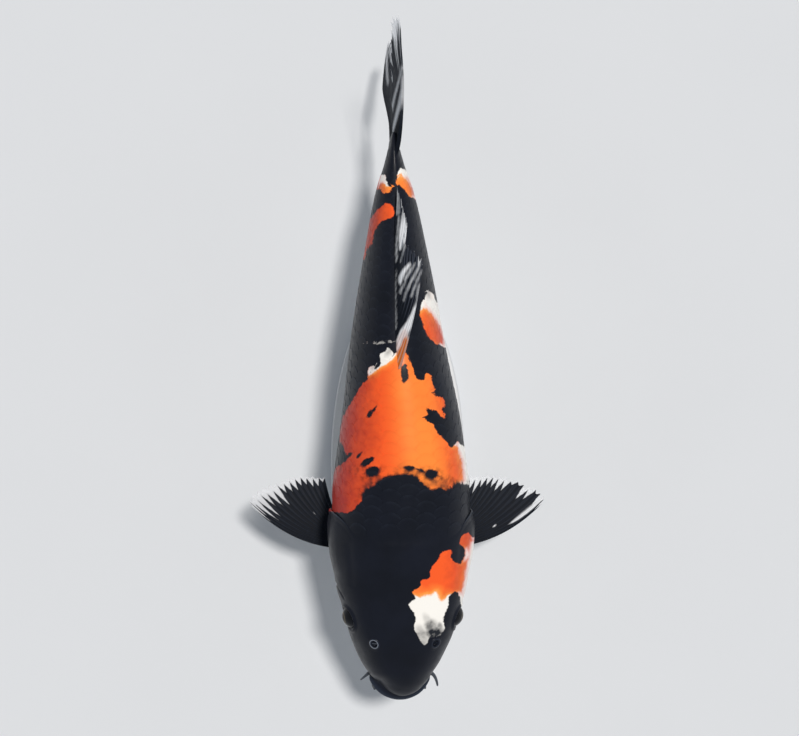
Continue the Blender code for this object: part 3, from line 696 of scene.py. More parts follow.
        # the pale edges on black: partly painted sheen
        net = n.add("Math", {0: net, 1: 1.6}, operation="MULTIPLY")
        dark = n.add("Mix", {0: net, 6: dark, 7: self.lip}, data_type="RGBA")
        skin = n.add("Mix", {0: in_black, 6: skin, 7: dark}, data_type="RGBA")
        # "lip" up to 1 greys the skin, from 1 to 2 it pales to the ring round a nostril; both are partly
        # painted highlight on wet rims
        skin = n.add("Mix", {0: lip, 6: skin, 7: self.lip}, data_type="RGBA")
        ring = n.add("MapRange", {0: lip, 1: 1.0, 2: 2.0})
        skin = n.add("Mix", {0: ring, 6: skin, 7: self.ring}, data_type="RGBA")
        rough = n.add("MapRange", {0: clumps, 1: 0.3, 2: 0.7, 3: 0.36, 4: 0.46})
        coarse, amount = clumps, 0.8
        if self.scaled:
            # growth lines run round a scale's root; drawn 0.4 mm apart, coarser than the real 0.1 mm
            local = n.add("UVMap", uv_map="ScaleMap")
            coarse = n.add("TexWave", {"Vector": local, "Scale": 5.0, "Distortion": 1.5}, "Fac",
                           wave_type="RINGS")
            amount = 0.25
        height = n.add("Math", {0: coarse, 1: amount, 2: grains}, operation="MULTIPLY_ADD")
        bump = n.add("Bump", {"Strength": 0.1, "Distance": self.relief, "Height": height})
        return n.finish(Base_Color=skin, Roughness=rough, Normal=bump)


@dataclass(frozen=True)
class FinWeb:
    """Fin rays in a thin web of skin: black, wet and opaque, clearing to milky glass between the ray tips."""
    name: str = "fin web, wet skin over soft rays"
    black: str = "#0B0E13"
    grey: str = "#191E28"
    ray_grey: str = "#7C8496"
    milk: str = "#E6E9EE"
    rust: str = "#BE6426"
    relief: float = 0.0004  # metres

    def build(self) -> Material:
        """Make the material; "ray" is the way to the nearest ray in gaps, "edge" runs 0 to 1 to the tips."""
        n = Nodes(self.name, IOR=1.36, Specular_IOR_Level=0.06, Coat_Weight=0.02, Coat_Roughness=0.35)
        where = n.add("TexCoord", out="Object")
        ray, edge, streak, rust, lines = (n.add("Attribute", attribute_name=key, out="Fac")
                                          for key in ("ray", "edge", "streak", "rust", "lines"))
        grain = n.add("TexNoise", {"Vector": where, "Scale": 420.0, "Detail": 3.0})
        # a black spike round each ray narrows from the whole gap to nothing near the edge
        spike = n.add("MapRange", {0: edge, 2: 0.88, 3: 0.58, 4: -0.1})
        over = n.add("Math", {0: ray, 1: spike}, operation="SUBTRACT")
        over = n.add("Math", {0: grain, 1: 0.2, 2: over}, operation="MULTIPLY_ADD")
        clear = n.add("MapRange", {0: over, 1: 0.05, 2: 0.2}, interpolation_type="SMOOTHSTEP")
        # paint lies between the rays, which stay darker
        between = n.add("MapRange", {0: ray, 1: 0.05, 2: 0.25, 3: 0.62, 4: 1.0})
        streak = n.add("Math", {0: streak, 1: between}, operation="MULTIPLY")
        streak = n.add("Math", {0: grain, 1: 0.3, 2: streak}, operation="MULTIPLY_ADD")
        streak = n.add("MapRange", {0: streak, 1: 0.22, 2: 1.1})
        pale = n.add("Math", {0: clear, 1: streak}, operation="MAXIMUM")
        skin = n.add("Mix", {0: grain, 6: self.black, 7: self.grey}, data_type="RGBA")
        skin = n.add("Mix", {0: lines, 6: skin, 7: self.ray_grey}, data_type="RGBA")
        skin = n.add("Mix", {0: pale, 6: skin, 7: self.milk}, data_type="RGBA")
        rust = n.add("Math", {0: rust, 1: between}, operation="MULTIPLY")
        skin = n.add("Mix", {0: rust, 6: skin, 7: self.rust}, data_type="RGBA")
        # clear web lets 35 to 70 percent of the light through
        thin = n.add("Math", {0: edge, 1: 0.35, 2: 0.35}, operation="MULTIPLY_ADD")
        thin = n.add("Math", {0: thin, 1: clear}, operation="MULTIPLY")
        solid = n.add("Math", {0: 1.0, 1: thin}, operation="SUBTRACT")
        rough = n.add("MapRange", {0: grain, 1: 0.3, 2: 0.7, 3: 0.45, 4: 0.6})
        bump = n.add("Bump", {"Strength": 0.15, "Distance": self.relief, "Height": grain})
        return n.finish(Base_Color=skin, Alpha=solid, Roughness=rough, Normal=bump)


@dataclass(frozen=True)
class EyeGloss:
    """A wet eyeball: clear cornea over a near black iris with a thin dull-gold ring round the pupil."""
    name: str = "wet eyeball, clear over dark iris"
    stops: tuple[tuple[float, str], ...] = (  # share of 90 degrees from the pupil's middle
        (0.0, "#040405"), (0.265, "#040405"), (0.285, "#625A47"), (0.315, "#544D3E"), (0.34, "#0E1116"),
        (0.62, "#0C0E13"), (0.8, "#10151D"))

    def build(self) -> Material:
        """Make the material: "polar" is the angle from the pupil's middle, in degrees."""
        n = Nodes(self.name, Roughness=0.15, IOR=1.36, Specular_IOR_Level=0.2, Coat_Weight=0.22,
                  Coat_Roughness=0.03)
        polar = n.add("Attribute", attribute_name="polar", out="Fac")
        grain = n.add("TexNoise", {"Vector": n.add("TexCoord", out="Object"), "Scale": 700.0, "Detail": 2.0})
        polar = n.add("Math", {0: grain, 1: 3.0, 2: polar}, operation="MULTIPLY_ADD")
        iris = n.add("ValToRGB", {0: n.add("MapRange", {0: polar, 2: 90.0})})
        ramp = iris.node.color_ramp
        for (at, code), element in zip((self.stops[0], self.stops[-1]), ramp.elements[:2]):
            element.position, element.color = at, colour(code)
        for at, code in self.stops[1:-1]:
            ramp.elements.new(at).color = colour(code)
        return n.finish(Base_Color=iris)


@dataclass(frozen=True)
class Tinted:
    """A finish of two near tones in soft noise, with fine grain on its gloss.

    Attributes:
        name: the real material and how it is made.
        light: one tone.
        dark: the other.
        size: noise scale per metre along each axis; unlike ones stretch the grain.
        rough: roughness from and to.
        bump: depth of the grain in metres.
        metal: 1 for metal.
    """
    name: str
    light: str
    dark: str
    size: Triple
    rough: Pair
    bump: float = 0.0001
    metal: float = 0.0

    def build(self) -> Material:
        """Make the material."""
        n = Nodes(self.name, Metallic=self.metal)
        where = n.add("Mapping", {"Vector": n.add("TexCoord", out="Object"), "Scale": self.size})
        grain = n.add("TexNoise", {"Vector": where, "Scale": 1.0, "Detail": 3.0})
        tone = n.add("Mix", {0: grain, 6: self.light, 7: self.dark}, data_type="RGBA")
        rough = n.add("MapRange", {0: grain, 1: 0.3, 2: 0.7, 3: self.rough[0], 4: self.rough[1]})
        bump = n.add("Bump", {"Strength": 0.1, "Distance": self.bump, "Height": grain})
        return n.finish(Base_Color=tone, Roughness=rough, Normal=bump)


# soft wet feelers: dark grey, flecked paler every 1.5 mm
FEELER = Tinted("barbel, soft wet skin", "#14171D", "#4A515C", (600.0,) * 3, (0.32, 0.45))
# sprayed board: an even pale grey with a faint orange-peel ripple about 1.5 mm wide
LACQUER = Tinted("satin lacquer on board, sprayed", "#CDD0D3", "#C6C9CD", (650.0,) * 3, (0.4, 0.46), 0.0003)
# rod brushed round its length: rings 0.3 mm apart that stretch the highlights
STEEL = Tinted("stainless steel, fine brushed", "#BFC3C7", "#9DA1A6", (60.0, 60.0, 3000.0), (0.26, 0.38),
               metal=1.0)
# matt paper: pale, slightly cool, hardly mottled
PAPER = Tinted("matt studio paper", "#D6DADF", "#D3D7DC", (8.0,) * 3, (0.85, 0.9))


# ---------------- skin
class Side(Enum):
    """A side of the fish: its value is the sign of u."""
    LEFT = 1
    RIGHT = -1

    @property
    def word(self) -> str:
        """The side in lower case, as the frame's names have it."""
        return self.name.lower()


@dataclass(frozen=True)
class Skin:
    """One skin over head, gill covers, jaws, trunk and tail stalk, just inside the frame's flesh.

    Its rings lie closest at the lips and along the rear edge of the gill covers, which
    the ring at edge_ring follows all round. Lifts are distances outside the body's form.
    """
    body: Body
    around: int = 288
    nose_end: float = 16.0  # s up to which the rings grow out from the snout
    nose_rings: int = 58
    head_runs: Rows = ((16.6, 66, 0.6), (66, 110.6, 0.75))  # rings from, to, spacing
    trunk_run: tuple[float, float, int] = (117.5, 331, 92)  # rings from, to, count
    edge_ring: float = 113.0
    follow: Pair = (18, 200)  # the rings between these follow the edge
    coat: float = 0.45  # depth of the scales over the trunk's skin
    coat_grows: Pair = (-1.0, 4.0)  # from no scales to full depth, past the covers' edge
    inset: float = 0.1  # depth of bare skin inside the frame's flesh
    inset_from: float = 5.0  # s at which the inset is full
    edge_steps: tuple[float, ...] = (  # rings near the edge, as distances past it
        -2, -1.5, -1.1, -0.8, -0.6, -0.45, -0.3, -0.2, -0.1, 0, 0.07, 0.15, 0.25, 0.35, 0.48, 0.6, 0.75, 0.9,
        1.1, 1.3, 1.55, 1.8, 2.2, 2.6)
    cover_edge: Rows = (  # mirrored angle, s of the gill cover's rear edge
        (-90, 60), (-78, 74), (-64, 93.8), (-55, 102.4), (-40, 108.1), (-25, 111.2), (-11, 113),
        (5, 112.7), (20, 111), (32, 107.8), (38, 104.7), (42, 101), (50, 97), (60, 95), (90, 95))
    cover_step: Rows = (  # the same, height of its step
        (-90, 0.5), (-78, 0.9), (-64, 1.4), (-50, 2.3), (-30, 2.7), (8, 2.7), (18, 2.1), (28, 1),
        (36, 0.3), (44, 0), (90, 0))
    cover_reach: Rows = (  # the same, length over which it rises
        (-90, 10), (-64, 16), (-40, 31), (-11, 38), (20, 34), (32, 27), (42, 17), (55, 12), (90, 12))
    cover_swell: float = 1.25  # how soon the lift is full
    cover_round: Pair = (1.08, 0.3)  # shares of the way over which it rounds down
    cover_groove: Triple = (0.3, 3.2, 0.7)  # depth, way ahead of the edge, width
    # the rolled edge: distance walked past the edge, true distance behind it, share of the height
    roll: Rows = (
        (-0.6, -0.6, 1), (-0.3, -0.28, 0.97), (-0.1, -0.05, 0.85), (0, 0.03, 0.6), (0.15, 0, 0.38),
        (0.35, -0.5, 0.24), (0.6, -1.3, 0.14), (0.9, -1.5, 0.03), (1.3, -0.6, 0), (1.8, 0.8, 0),
        (2.6, 2.6, 0))
    eye: Triple = (27.6, 52.0, 7.0)
    eye_radius: float = 7.8
    nostril: Pair = (37.0, 57.9)  # s and angle
    mouth_line: float = -7.2  # height of the line between the lips, carried on to s = 0
    mouth_fall: float = 0.42  # its fall for each mm of s
    # how far the snout's front, above the upper lip, is set back along u
    snout_back: Rows = ((-16, 3.4), (-12, 4.4), (-7, 2.8), (0, 1.7), (7, 1.3), (13, 1.2), (16, 0.8))
    folds: tuple[tuple[Rows, float, float], ...] = (  # path (s, v), depth, width
        (((62, 12), (66.5, 7), (69.5, -1), (68, -11), (63, -20), (54, -27)), 0.8, 0.9),
        (((13.5, -12.5), (18, -13.5), (23, -18)), 0.9, 1),
        (((17, -18.5), (30, -21), (46, -26)), 0.6, 0.9),
        (((37, 0), (45, -5), (54, -6.5), (62, -2)), 0.5, 0.9),
        (((70, 22), (84, 25.5), (96, 26.5)), 0.3, 2),
        (((58, -30), (72, -33), (84, -33)), 0.5, 0.9))
    eye_rim: Quad = (8.9, 0.8, 0.75, 0.45)  # radius, width, height, more above
    socket: Triple = (7.9, 6.6, 2.0)  # radius from, to, depth
    hollow: Triple = (4.3, 3.2, 2.2)  # the same under a nostril
    fold_from: Pair = (7, 11)  # half widths over which the folds set in
    # upper and lower: height, way under the line between the lips, half width
    lips: Rows = ((1.8, -0.3, 2.2), (1.6, 4.1, 1.8))
    # between the lips and over the upper one: depth, way under the line, width
    furrows: Rows = ((1.0, 2.15, 0.4), (0.8, -3.2, 0.8))
    mouth_end: Pair = (11.5, 16.5)  # s over which the lips run out
    step_up: Pair = (2.4, 4.4)  # heights over the line where the snout's front steps back
    step_end: Pair = (6, 19)  # s over which that runs out
    # partly a painted highlight along the wet rim of the upper lip
    lip_rim_grey_and_glint: Triple = (1.2, 1.3, 0.75)  # grey along the upper lip: place, width, strength
    rim_end: Pair = (12, 18)
    # partly a painted highlight along the rim of the gill covers
    cover_edge_pale_and_glint: Triple = (-0.25, 0.45, 0.6)  # the same along the gill covers' edge
    map_margins: Pair = (0.001, 0.002)  # round the whole map and round the unrolled tube in it
    map_disc: float = 0.0004  # radius of an end face in the map
    map_ends: Pair = (0.0005, 0.9995)  # their places beside the tube
    swellings: Rows = (  # height, place and length along s, place and width in angle
        (0.9, 51, 10, 46, 15), (0.5, 66, 12, -12, 20),  # brow and cheek
        (-0.7, 30, 8, 22, 18), (0.5, 37, 6, 58, 14),  # before the eye, round the nostril
        (-0.5, 66, 16, 74, 9), (0.4, 30, 16, -62, 14),  # furrow beside the crown, jaw bone
        (-0.5, 32, 18, -90, 8))  # hollow under the chin

    def stations(self) -> Array:
        """Nominal places of the rings: even in sqrt(s - snout) over the nose, then even lengths."""
        snout = self.body.snout
        nose = snout + np.linspace(0, math.sqrt(self.nose_end - snout), self.nose_rings) ** 2
        head = [np.arange(*run) for run in self.head_runs]
        edge = self.edge_ring + np.array(self.edge_steps)
        return np.concatenate([nose, *head, edge, np.linspace(*self.trunk_run)])

    def fold_angle(self, angle: Array) -> Array:
        """The angle mirrored onto the left side: -90 belly, 0 side, 90 back."""
        wrapped = (angle + 90) % 360 - 90
        return np.where(wrapped > 90, 180 - wrapped, wrapped)

    def lift(self, s: Array, angle: Array) -> Array:
        """Soft swellings and hollows of the head, each a bell in s times a bell in angle."""
        side = self.fold_angle(angle)
        return sum(height * bell(s - middle, length) * bell(side - turn, width)
                   for height, middle, length, turn, width in self.swellings)

    def surface(self, s: Array, angle: Array, extra: Array | float = 0.0) -> Array:
        """Points of the head's smooth form with its swellings, moved out by extra."""
        return self.body.point(s, angle, self.lift(s, angle) - self.inset + extra)

    def normals(self, grid: Array) -> Array:
        """Unit normals of a closed grid of rings, from the cross product of its two directions."""
        closed = np.concatenate([grid[:, -1:], grid, grid[:, :1]], axis=1)
        round_way, back_way = np.gradient(closed, axis=1)[:, 1:-1], np.gradient(grid, axis=0)
        normal = np.cross(round_way, back_way)
        length = np.linalg.norm(normal, axis=-1, keepdims=True)
        normal = np.where(length > TINY, normal / np.maximum(length, TINY), np.array([0.0, -1.0, 0.0]))
        ring = self.nose_rings + 2  # a round one, whose points lie outward from the axis
        return normal * np.sign(np.sum(normal[ring] * grid[ring] * (1, 0, 1)))

    def covered(self, walked_s: Array, side: Array) -> tuple[Array, Array]:
        """True s and lift of the gill covers.

        Ahead of the edge the lift is step * sin(90 * cover_swell * share of the way) and rounds down
        to about half at the edge; there the skin rolls under itself and comes out again. A
        shallow groove runs ahead of the edge.

        Args:
            walked_s: distance behind the mouth, walked along the skin.
            side: angle mirrored onto the left side.
        Returns:
            True s, and the lift.
        """
        edge, step, reach = (smooth_curve(table, side)
                             for table in (self.cover_edge, self.cover_step, self.cover_reach))
        walked = walked_s - edge
        past, true, height = np.array(self.roll).T
        grip = np.clip(step, 0, 1)
        moved = np.interp(walked, past, true) - np.clip(walked, past[0], past[-1])
        share = 1 - np.clip(-walked, 0, None) / reach
        end, rounding = self.cover_round
        rise = np.sin(0.5 * np.pi * np.clip(self.cover_swell * share, 0, 1))
        rise = rise * np.sqrt(np.clip((end - share) / rounding, 0, 1))
        deep, ahead, width = self.cover_groove
        groove = deep * bell(walked + ahead, width) * grip
        lift = step * rise * np.interp(walked, past, height) - groove
        return walked_s + grip * moved, np.where(walked < past[-1], lift, 0.0)

    def grid(self) -> tuple[Array, Array, Array, Array]:
        """All points of the skin, ring by ring, with their s, angle and distance past the gill edge."""
        nominal = self.stations()[:, None]
        angle = (-90 + 360 * np.arange(self.around) / self.around)[None, :] + 0 * nominal
        side = self.fold_angle(angle)
        edge = smooth_curve(self.cover_edge, side)
        first, last = self.follow
        hold = np.where(nominal < self.edge_ring, ease(nominal, first, self.edge_ring),
                        1 - ease(nominal, self.edge_ring, last))
        s = nominal + (edge - self.edge_ring) * hold
        walked = s - edge
        s, lift = self.covered(s, side)
        depth = (self.inset * ease(s, self.body.snout, self.inset_from)
                 + (self.coat - self.inset) * ease(walked, *self.coat_grows))
        points = self.body.point(s, angle, self.lift(s, angle) + lift - depth)
        return self.face(points, self.normals(points)), s, angle, walked

    def above_mouth(self, points: Array) -> Array:
        """Height above the line between the lips, which falls towards the corners of the mouth."""
        return points[..., 2] - (self.mouth_line - self.mouth_fall * points[..., 1])

    def face(self, points: Array, normal: Array) -> Array:
        """Add eye sockets, nostril hollows, folds, lips and the step behind the upper lip.

        Args:
            points: grid of points (u, s, v).
            normal: their unit normals.
        Returns:
            The moved points.
        """
        u, s, v = np.moveaxis(points, -1, 0)
        mirrored = np.stack([np.abs(u), s, v], axis=-1)
        # a rim round the eye, higher over it, and a socket that lies behind the eyeball
        from_eye = np.linalg.norm(mirrored - self.eye, axis=-1)
        over = np.clip((v - self.eye[2]) / self.eye_radius, -0.6, 1)
        radius, width, height, more = self.eye_rim
        start, end, deep = self.socket
        out = (height + more * over) * bell(from_eye - radius, width) - deep * ease(from_eye, start, end)
        nostril = self.surface(*(np.array(a) for a in self.nostril))
        start, end, deep = self.hollow
        out = out - deep * ease(np.linalg.norm(mirrored - nostril, axis=-1), start, end)
        for path, depth, width in self.folds:
            near, share = path_distance(s, v, smooth_path(path))
            fold = depth * bell(near, width) * np.sqrt(dome(2 * share - 1))
            out = out - fold * ease(np.abs(u), *self.fold_from)
        # the lips, the gap between them and the furrow over the upper one
        above = self.above_mouth(points)
        lips = sum(height * dome((above + place) / width) for height, place, width in self.lips)
        for depth, place, width in self.furrows:
            lips = lips - depth * bell(above + place, width)
        out = out + (1 - ease(s, *self.mouth_end)) * lips
        moved = points + normal * out[..., None]
        back = smooth_curve(self.snout_back, u) * ease(above, *self.step_up)
        moved[..., 1] += back * (1 - ease(s, *self.step_end))
        return moved

    def make(self, markings: Markings, material: Material) -> None:
        """Build the skin with its markings.

        Args:
            markings: the patches.
            material: its finish.
        """
        points, s, angle, walked = self.grid()
        rows, columns = s.shape
        fields = markings.measure(self.body, s, angle, points)
        # grey along the upper lip and the gill covers' edge: partly real colour, partly painted highlight
        where, width, strength = self.lip_rim_grey_and_glint
        rim = strength * (bell(self.above_mouth(points) - where, width) * (1 - ease(s, *self.rim_end)))
        where, width, strength = self.cover_edge_pale_and_glint
        cover = np.clip(smooth_curve(self.cover_step, self.fold_angle(angle)), 0, 1)
        edge = strength * bell(walked - where, width) * cover * ease(fields["black"], -0.5, 0.5)
        fields["lip"] = np.maximum(rim, edge)
        # the tube unrolls over nearly the whole map; its two end faces are tiny discs in the margins
        places = grid_faces(rows, columns, True)[1].reshape(-1, 2)
        turn = 2 * np.pi * np.arange(columns) / columns
        disc = self.map_disc * np.stack([np.cos(turn), np.sin(turn)], axis=-1)
        for margin in reversed(self.map_margins):
            places = margin + (1 - 2 * margin) * places
        unwrapped = np.concatenate([places] + [disc + (0.5, end) for end in self.map_ends])
        new_piece("koi_skin", self.body.pose(points), capped_tube(rows, columns), material, "skin", "head",
                  "lower_jaw", "upper_lip", "gill_cover_left", "gill_cover_right", "trunk", "tail_stalk",
                  fields=fields, maps={"OFBake": unwrapped})


# ---------------- scales
@dataclass(frozen=True)
class ScaleCoat:
    """Overlapping scales over the trunk in staggered rows that keep an even share of the girth.

    Each scale is a thin closed plate: across q from -1 to 1 and along p from 0 at its
    sunk root to 1 at its free edge. Differences between scales are normal draws.

    Attributes:
        pitch: distance between scales of a row, along s.
        first: where the rows begin, along the angle.
        length: length of a scale in pitches.
        width: width of a scale in row spacings.
        sink: depth of the root under the coat's middle.
        stand: height of the free edge over it.
        end_gap: pitches kept free before the last station.
        crowd: power by which a scale's points crowd towards its free edge.
        rounding: by how much the length falls off to the sides, and the power of |q|.
        neck: width at the root as a share, and p at which the width is full.
        doming: height of the middle over the sides, and p from none to full.
        skins: height of the top face, depth of the underside at the root and how much more at the edge.
        vary: spread of length, width and tilt, and of the markings in mm.
        edge_from: p at which the dark net along the edge begins.
        patch: margin of the shared map, share of it for the roots, and size of a scale's patch.
    """
    body: Body
    skin: Skin
    rows: int = 26
    pitch: Rows = ((60, 6.6), (190, 6.6), (318, 4.0))
    first: Rows = (
        (-90, 78), (-75, 84), (-64, 91), (-55, 99), (-40, 105), (-11, 110), (20, 108), (38, 101.5), (46, 97),
        (60, 93.5), (75, 93), (90, 94.5))
    start: float = 60.0
    last: float = 319.0
    length: float = 1.75
    width: float = 1.2
    sink: float = 0.14
    stand: float = 0.17
    end_gap: float = 0.9
    crowd: float = 0.85
    rounding: Pair = (0.30, 2.2)
    neck: Pair = (0.76, 0.5)
    doming: Triple = (0.04, 0.1, 0.7)
    skins: Triple = (0.05, 0.01, 0.10)
    vary: Quad = (0.02, 0.015, 0.025, 0.3)
    edge_from: float = 0.80
    patch: Triple = (0.002, 0.993, 0.003)
    across: int = 8
    along: int = 5

    def roots(self, girth: Girth, tables: tuple[Array, Array]) -> tuple[Array, Array]:
        """Place of each scale's root: s and share of the girth.

        Args:
            girth: lengths round the body.
            tables: its tables.
        Returns:
            s and share of every scale's root.
        """
        walk = [self.start]
        while walk[-1] < self.last:
            walk.append(walk[-1] + float(smooth_curve(self.pitch, walk[-1])))
        even = np.array(walk[:-1])
        between = even + 0.5 * smooth_curve(self.pitch, even)
        s = np.concatenate([between if row % 2 else even for row in range(self.rows)])
        share = np.repeat(np.arange(self.rows), len(even)) / self.rows
        side = self.skin.fold_angle(girth.angle_at(tables, s, share))
        end = self.last - self.end_gap * smooth_curve(self.pitch, s)
        keep = (s > smooth_curve(self.first, side)) & (s < end)
        return s[keep], share[keep]

    def spread(self) -> tuple[Array, Array]:
        """Places p and q of the points of one scale."""
        return np.linspace(0, 1, self.along + 1) ** self.crowd, np.linspace(-1, 1, self.across + 1)

    def plates(self, root: Array, share: Array, rim: Array, rng: np.random.Generator,
               girth: Girth, tables: tuple[Array, Array]) -> tuple[Array, Array, Array]:
        """Points of all scales, each the grid of its top and then the rim of its underside.

        Args:
            root: s of each scale's root.
            share: its share of the girth.
            rim: numbers of the grid's rim points.
            rng: source of the small differences between scales.
            girth: lengths round the body.
            tables: its tables.
        Returns:
            Points (scales, points, 3), and their s and angle.
        """
        count = len(root)
        p, q = self.spread()
        p, q = p[None, :, None], q[None, None, :]
        pitch = smooth_curve(self.pitch, root)[:, None, None]
        long = pitch * self.length * rng.normal(1, self.vary[0], count)[:, None, None]
        round_body = np.interp(root, girth.stations, tables[0])[:, None, None]
        wide = self.width * round_body / self.rows * rng.normal(1, self.vary[1], count)[:, None, None]
        shorter, power = self.rounding
        s = root[:, None, None] + long * p * (1 - shorter * np.abs(q) ** power)
        # across each scale narrows to its root; the free end is slightly domed and tilted
        narrow, full = self.neck
        off = 0.5 * wide * q * (narrow + (1 - narrow) * ease(p, 0, full))
        there = share[:, None, None] + off / np.interp(s, girth.stations, tables[0])
        angle = girth.angle_at(tables, s, there)
        tilt = rng.normal(0, self.vary[2], count)[:, None, None]
        dome_height, *sets_in = self.doming
        raised = (-self.sink + (self.sink + self.stand) * p + dome_height * (1 - q * q) * ease(p, *sets_in)
                  + tilt * q * p)
        over, below, thicker = self.skins
        heights = (raised - self.skin.coat + over, raised - self.skin.coat - below - thicker * p)
        top, under = (self.body.point(s, angle, height).reshape(count, -1, 3) for height in heights)
        s, angle = (g.reshape(count, -1) for g in (s + 0 * q, angle))
        return (np.concatenate([top, under[:, rim]], axis=1),
                *(np.concatenate([g, g[:, rim]], axis=1) for g in (s, angle)))

    def make(self, markings: Markings, material: Material, rng: np.random.Generator) -> None:
        """Build the coat in two pieces, left and right.

        Args:
            markings: the patches.
            material: its finish.
            rng: source of the small differences between scales.
        """
        girth = Girth(self.body)
        tables = girth.tables()
        root, share = self.roots(girth, tables)
        rows, columns = self.along + 1, self.across + 1
        rim = rim_of(np.arange(rows * columns).reshape(rows, columns))
        points, s, angle = self.plates(root, share, rim, rng, girth, tables)
        fields = markings.measure(self.body, s, angle, points)
        for key in ("black", "white"):
            fields[key] = fields[key] + rng.normal(0, self.vary[3], len(root))[:, None]
        # place of each point on its own scale, (0..1 across, 0..1 along)
        p, q = np.meshgrid(*self.spread(), indexing="ij")
        local = np.stack([0.5 + 0.5 * q, p], axis=-1).reshape(-1, 2)
        local = np.concatenate([local, local[rim]])
        fields["net"] = np.broadcast_to(ease(local[:, 1], self.edge_from, 1.0), s.shape)
        base = rows * columns + np.arange(len(rim))
        rim_faces = np.stack([rim, base, np.roll(base, -1), np.roll(rim, -1)], axis=1)
        faces = [*grid_faces(rows, columns, False)[0].tolist(), *rim_faces.tolist(), base[::-1].tolist()]
        corners = local[np.concatenate([np.array(f) for f in faces])]
        # on the shared map every scale has a tiny patch of its own, laid out by its root
        unwrap = np.stack([share, (root - self.start) / (self.last - self.start)], axis=-1)
        margin, inner, size = self.patch
        for word, part in (("left", (share > 0) & (share < 0.5)), ("right", (share == 0) | (share >= 0.5))):
            chosen = np.flatnonzero(part)
            many = [[n + i * points.shape[1] for n in f] for i in range(len(chosen)) for f in faces]
            patch = margin + inner * unwrap[chosen][:, None] + size * corners[None]
            new_piece("koi_scales_" + word, self.body.pose(points[chosen]), many, material, "skin",
                      fields={key: value[chosen] for key, value in fields.items()},
                      maps={"ScaleMap": np.tile(corners, (len(chosen), 1)), "OFBake": patch.reshape(-1, 2)})


# ---------------- eyes, nostrils, feelers
def square_to(way: Array) -> tuple[Array, Array]:
    """Two unit directions square to each given one: a level one and the one that rises most."""
    level = np.cross(way, (0.0, 0.0, 1.0))
    level /= np.linalg.norm(level, axis=-1, keepdims=True)
    return level, np.cross(level, way)


def ring_turns(count: int) -> Array:
    """Angles of the points of a ring in radians, as one row."""
    return np.radians(np.linspace(0, 360, count, endpoint=False))[None, :]


@dataclass(frozen=True)
class Eye:
    """An eyeball with a slightly raised cornea, set in its socket and turned out, forward and up."""
    skin: Skin
    sight: Triple = (1.0, -0.16, 0.10)
    cornea: Pair = (0.25, 32.0)  # its height and half width in degrees
    poles: Pair = (0.4, 179.6)  # angles of the first and last ring from the line of sight
    rings: int = 48
    around: int = 72

    def make(self, side: Side, material: Material) -> None:
        """Build one eye: a ball about the line of sight, its radius raised by a bell of the angle from it.

        Args:
            side: the fish's side.
            material: its finish.
        """
        sight = np.array(self.sight)
        sight /= np.linalg.norm(sight)
        level, upward = square_to(sight)
        polar, turn = np.linspace(*self.poles, self.rings)[:, None], ring_turns(self.around)
        raised, width = self.cornea
        radius = (self.skin.eye_radius - raised + raised * bell(polar, width))[..., None]
        across, out = np.sin(np.radians(polar))[..., None], np.cos(np.radians(polar))[..., None]
        ring = np.cos(turn)[..., None] * level + np.sin(turn)[..., None] * upward
        points = (radius * (out * sight + across * ring) + self.skin.eye) * (side.value, 1, 1)
        new_piece("koi_eye_" + side.word, self.skin.body.pose(points), capped_tube(self.rings, self.around),
                  material, "eye", "eye_" + side.word, fields={"polar": polar + 0 * turn})


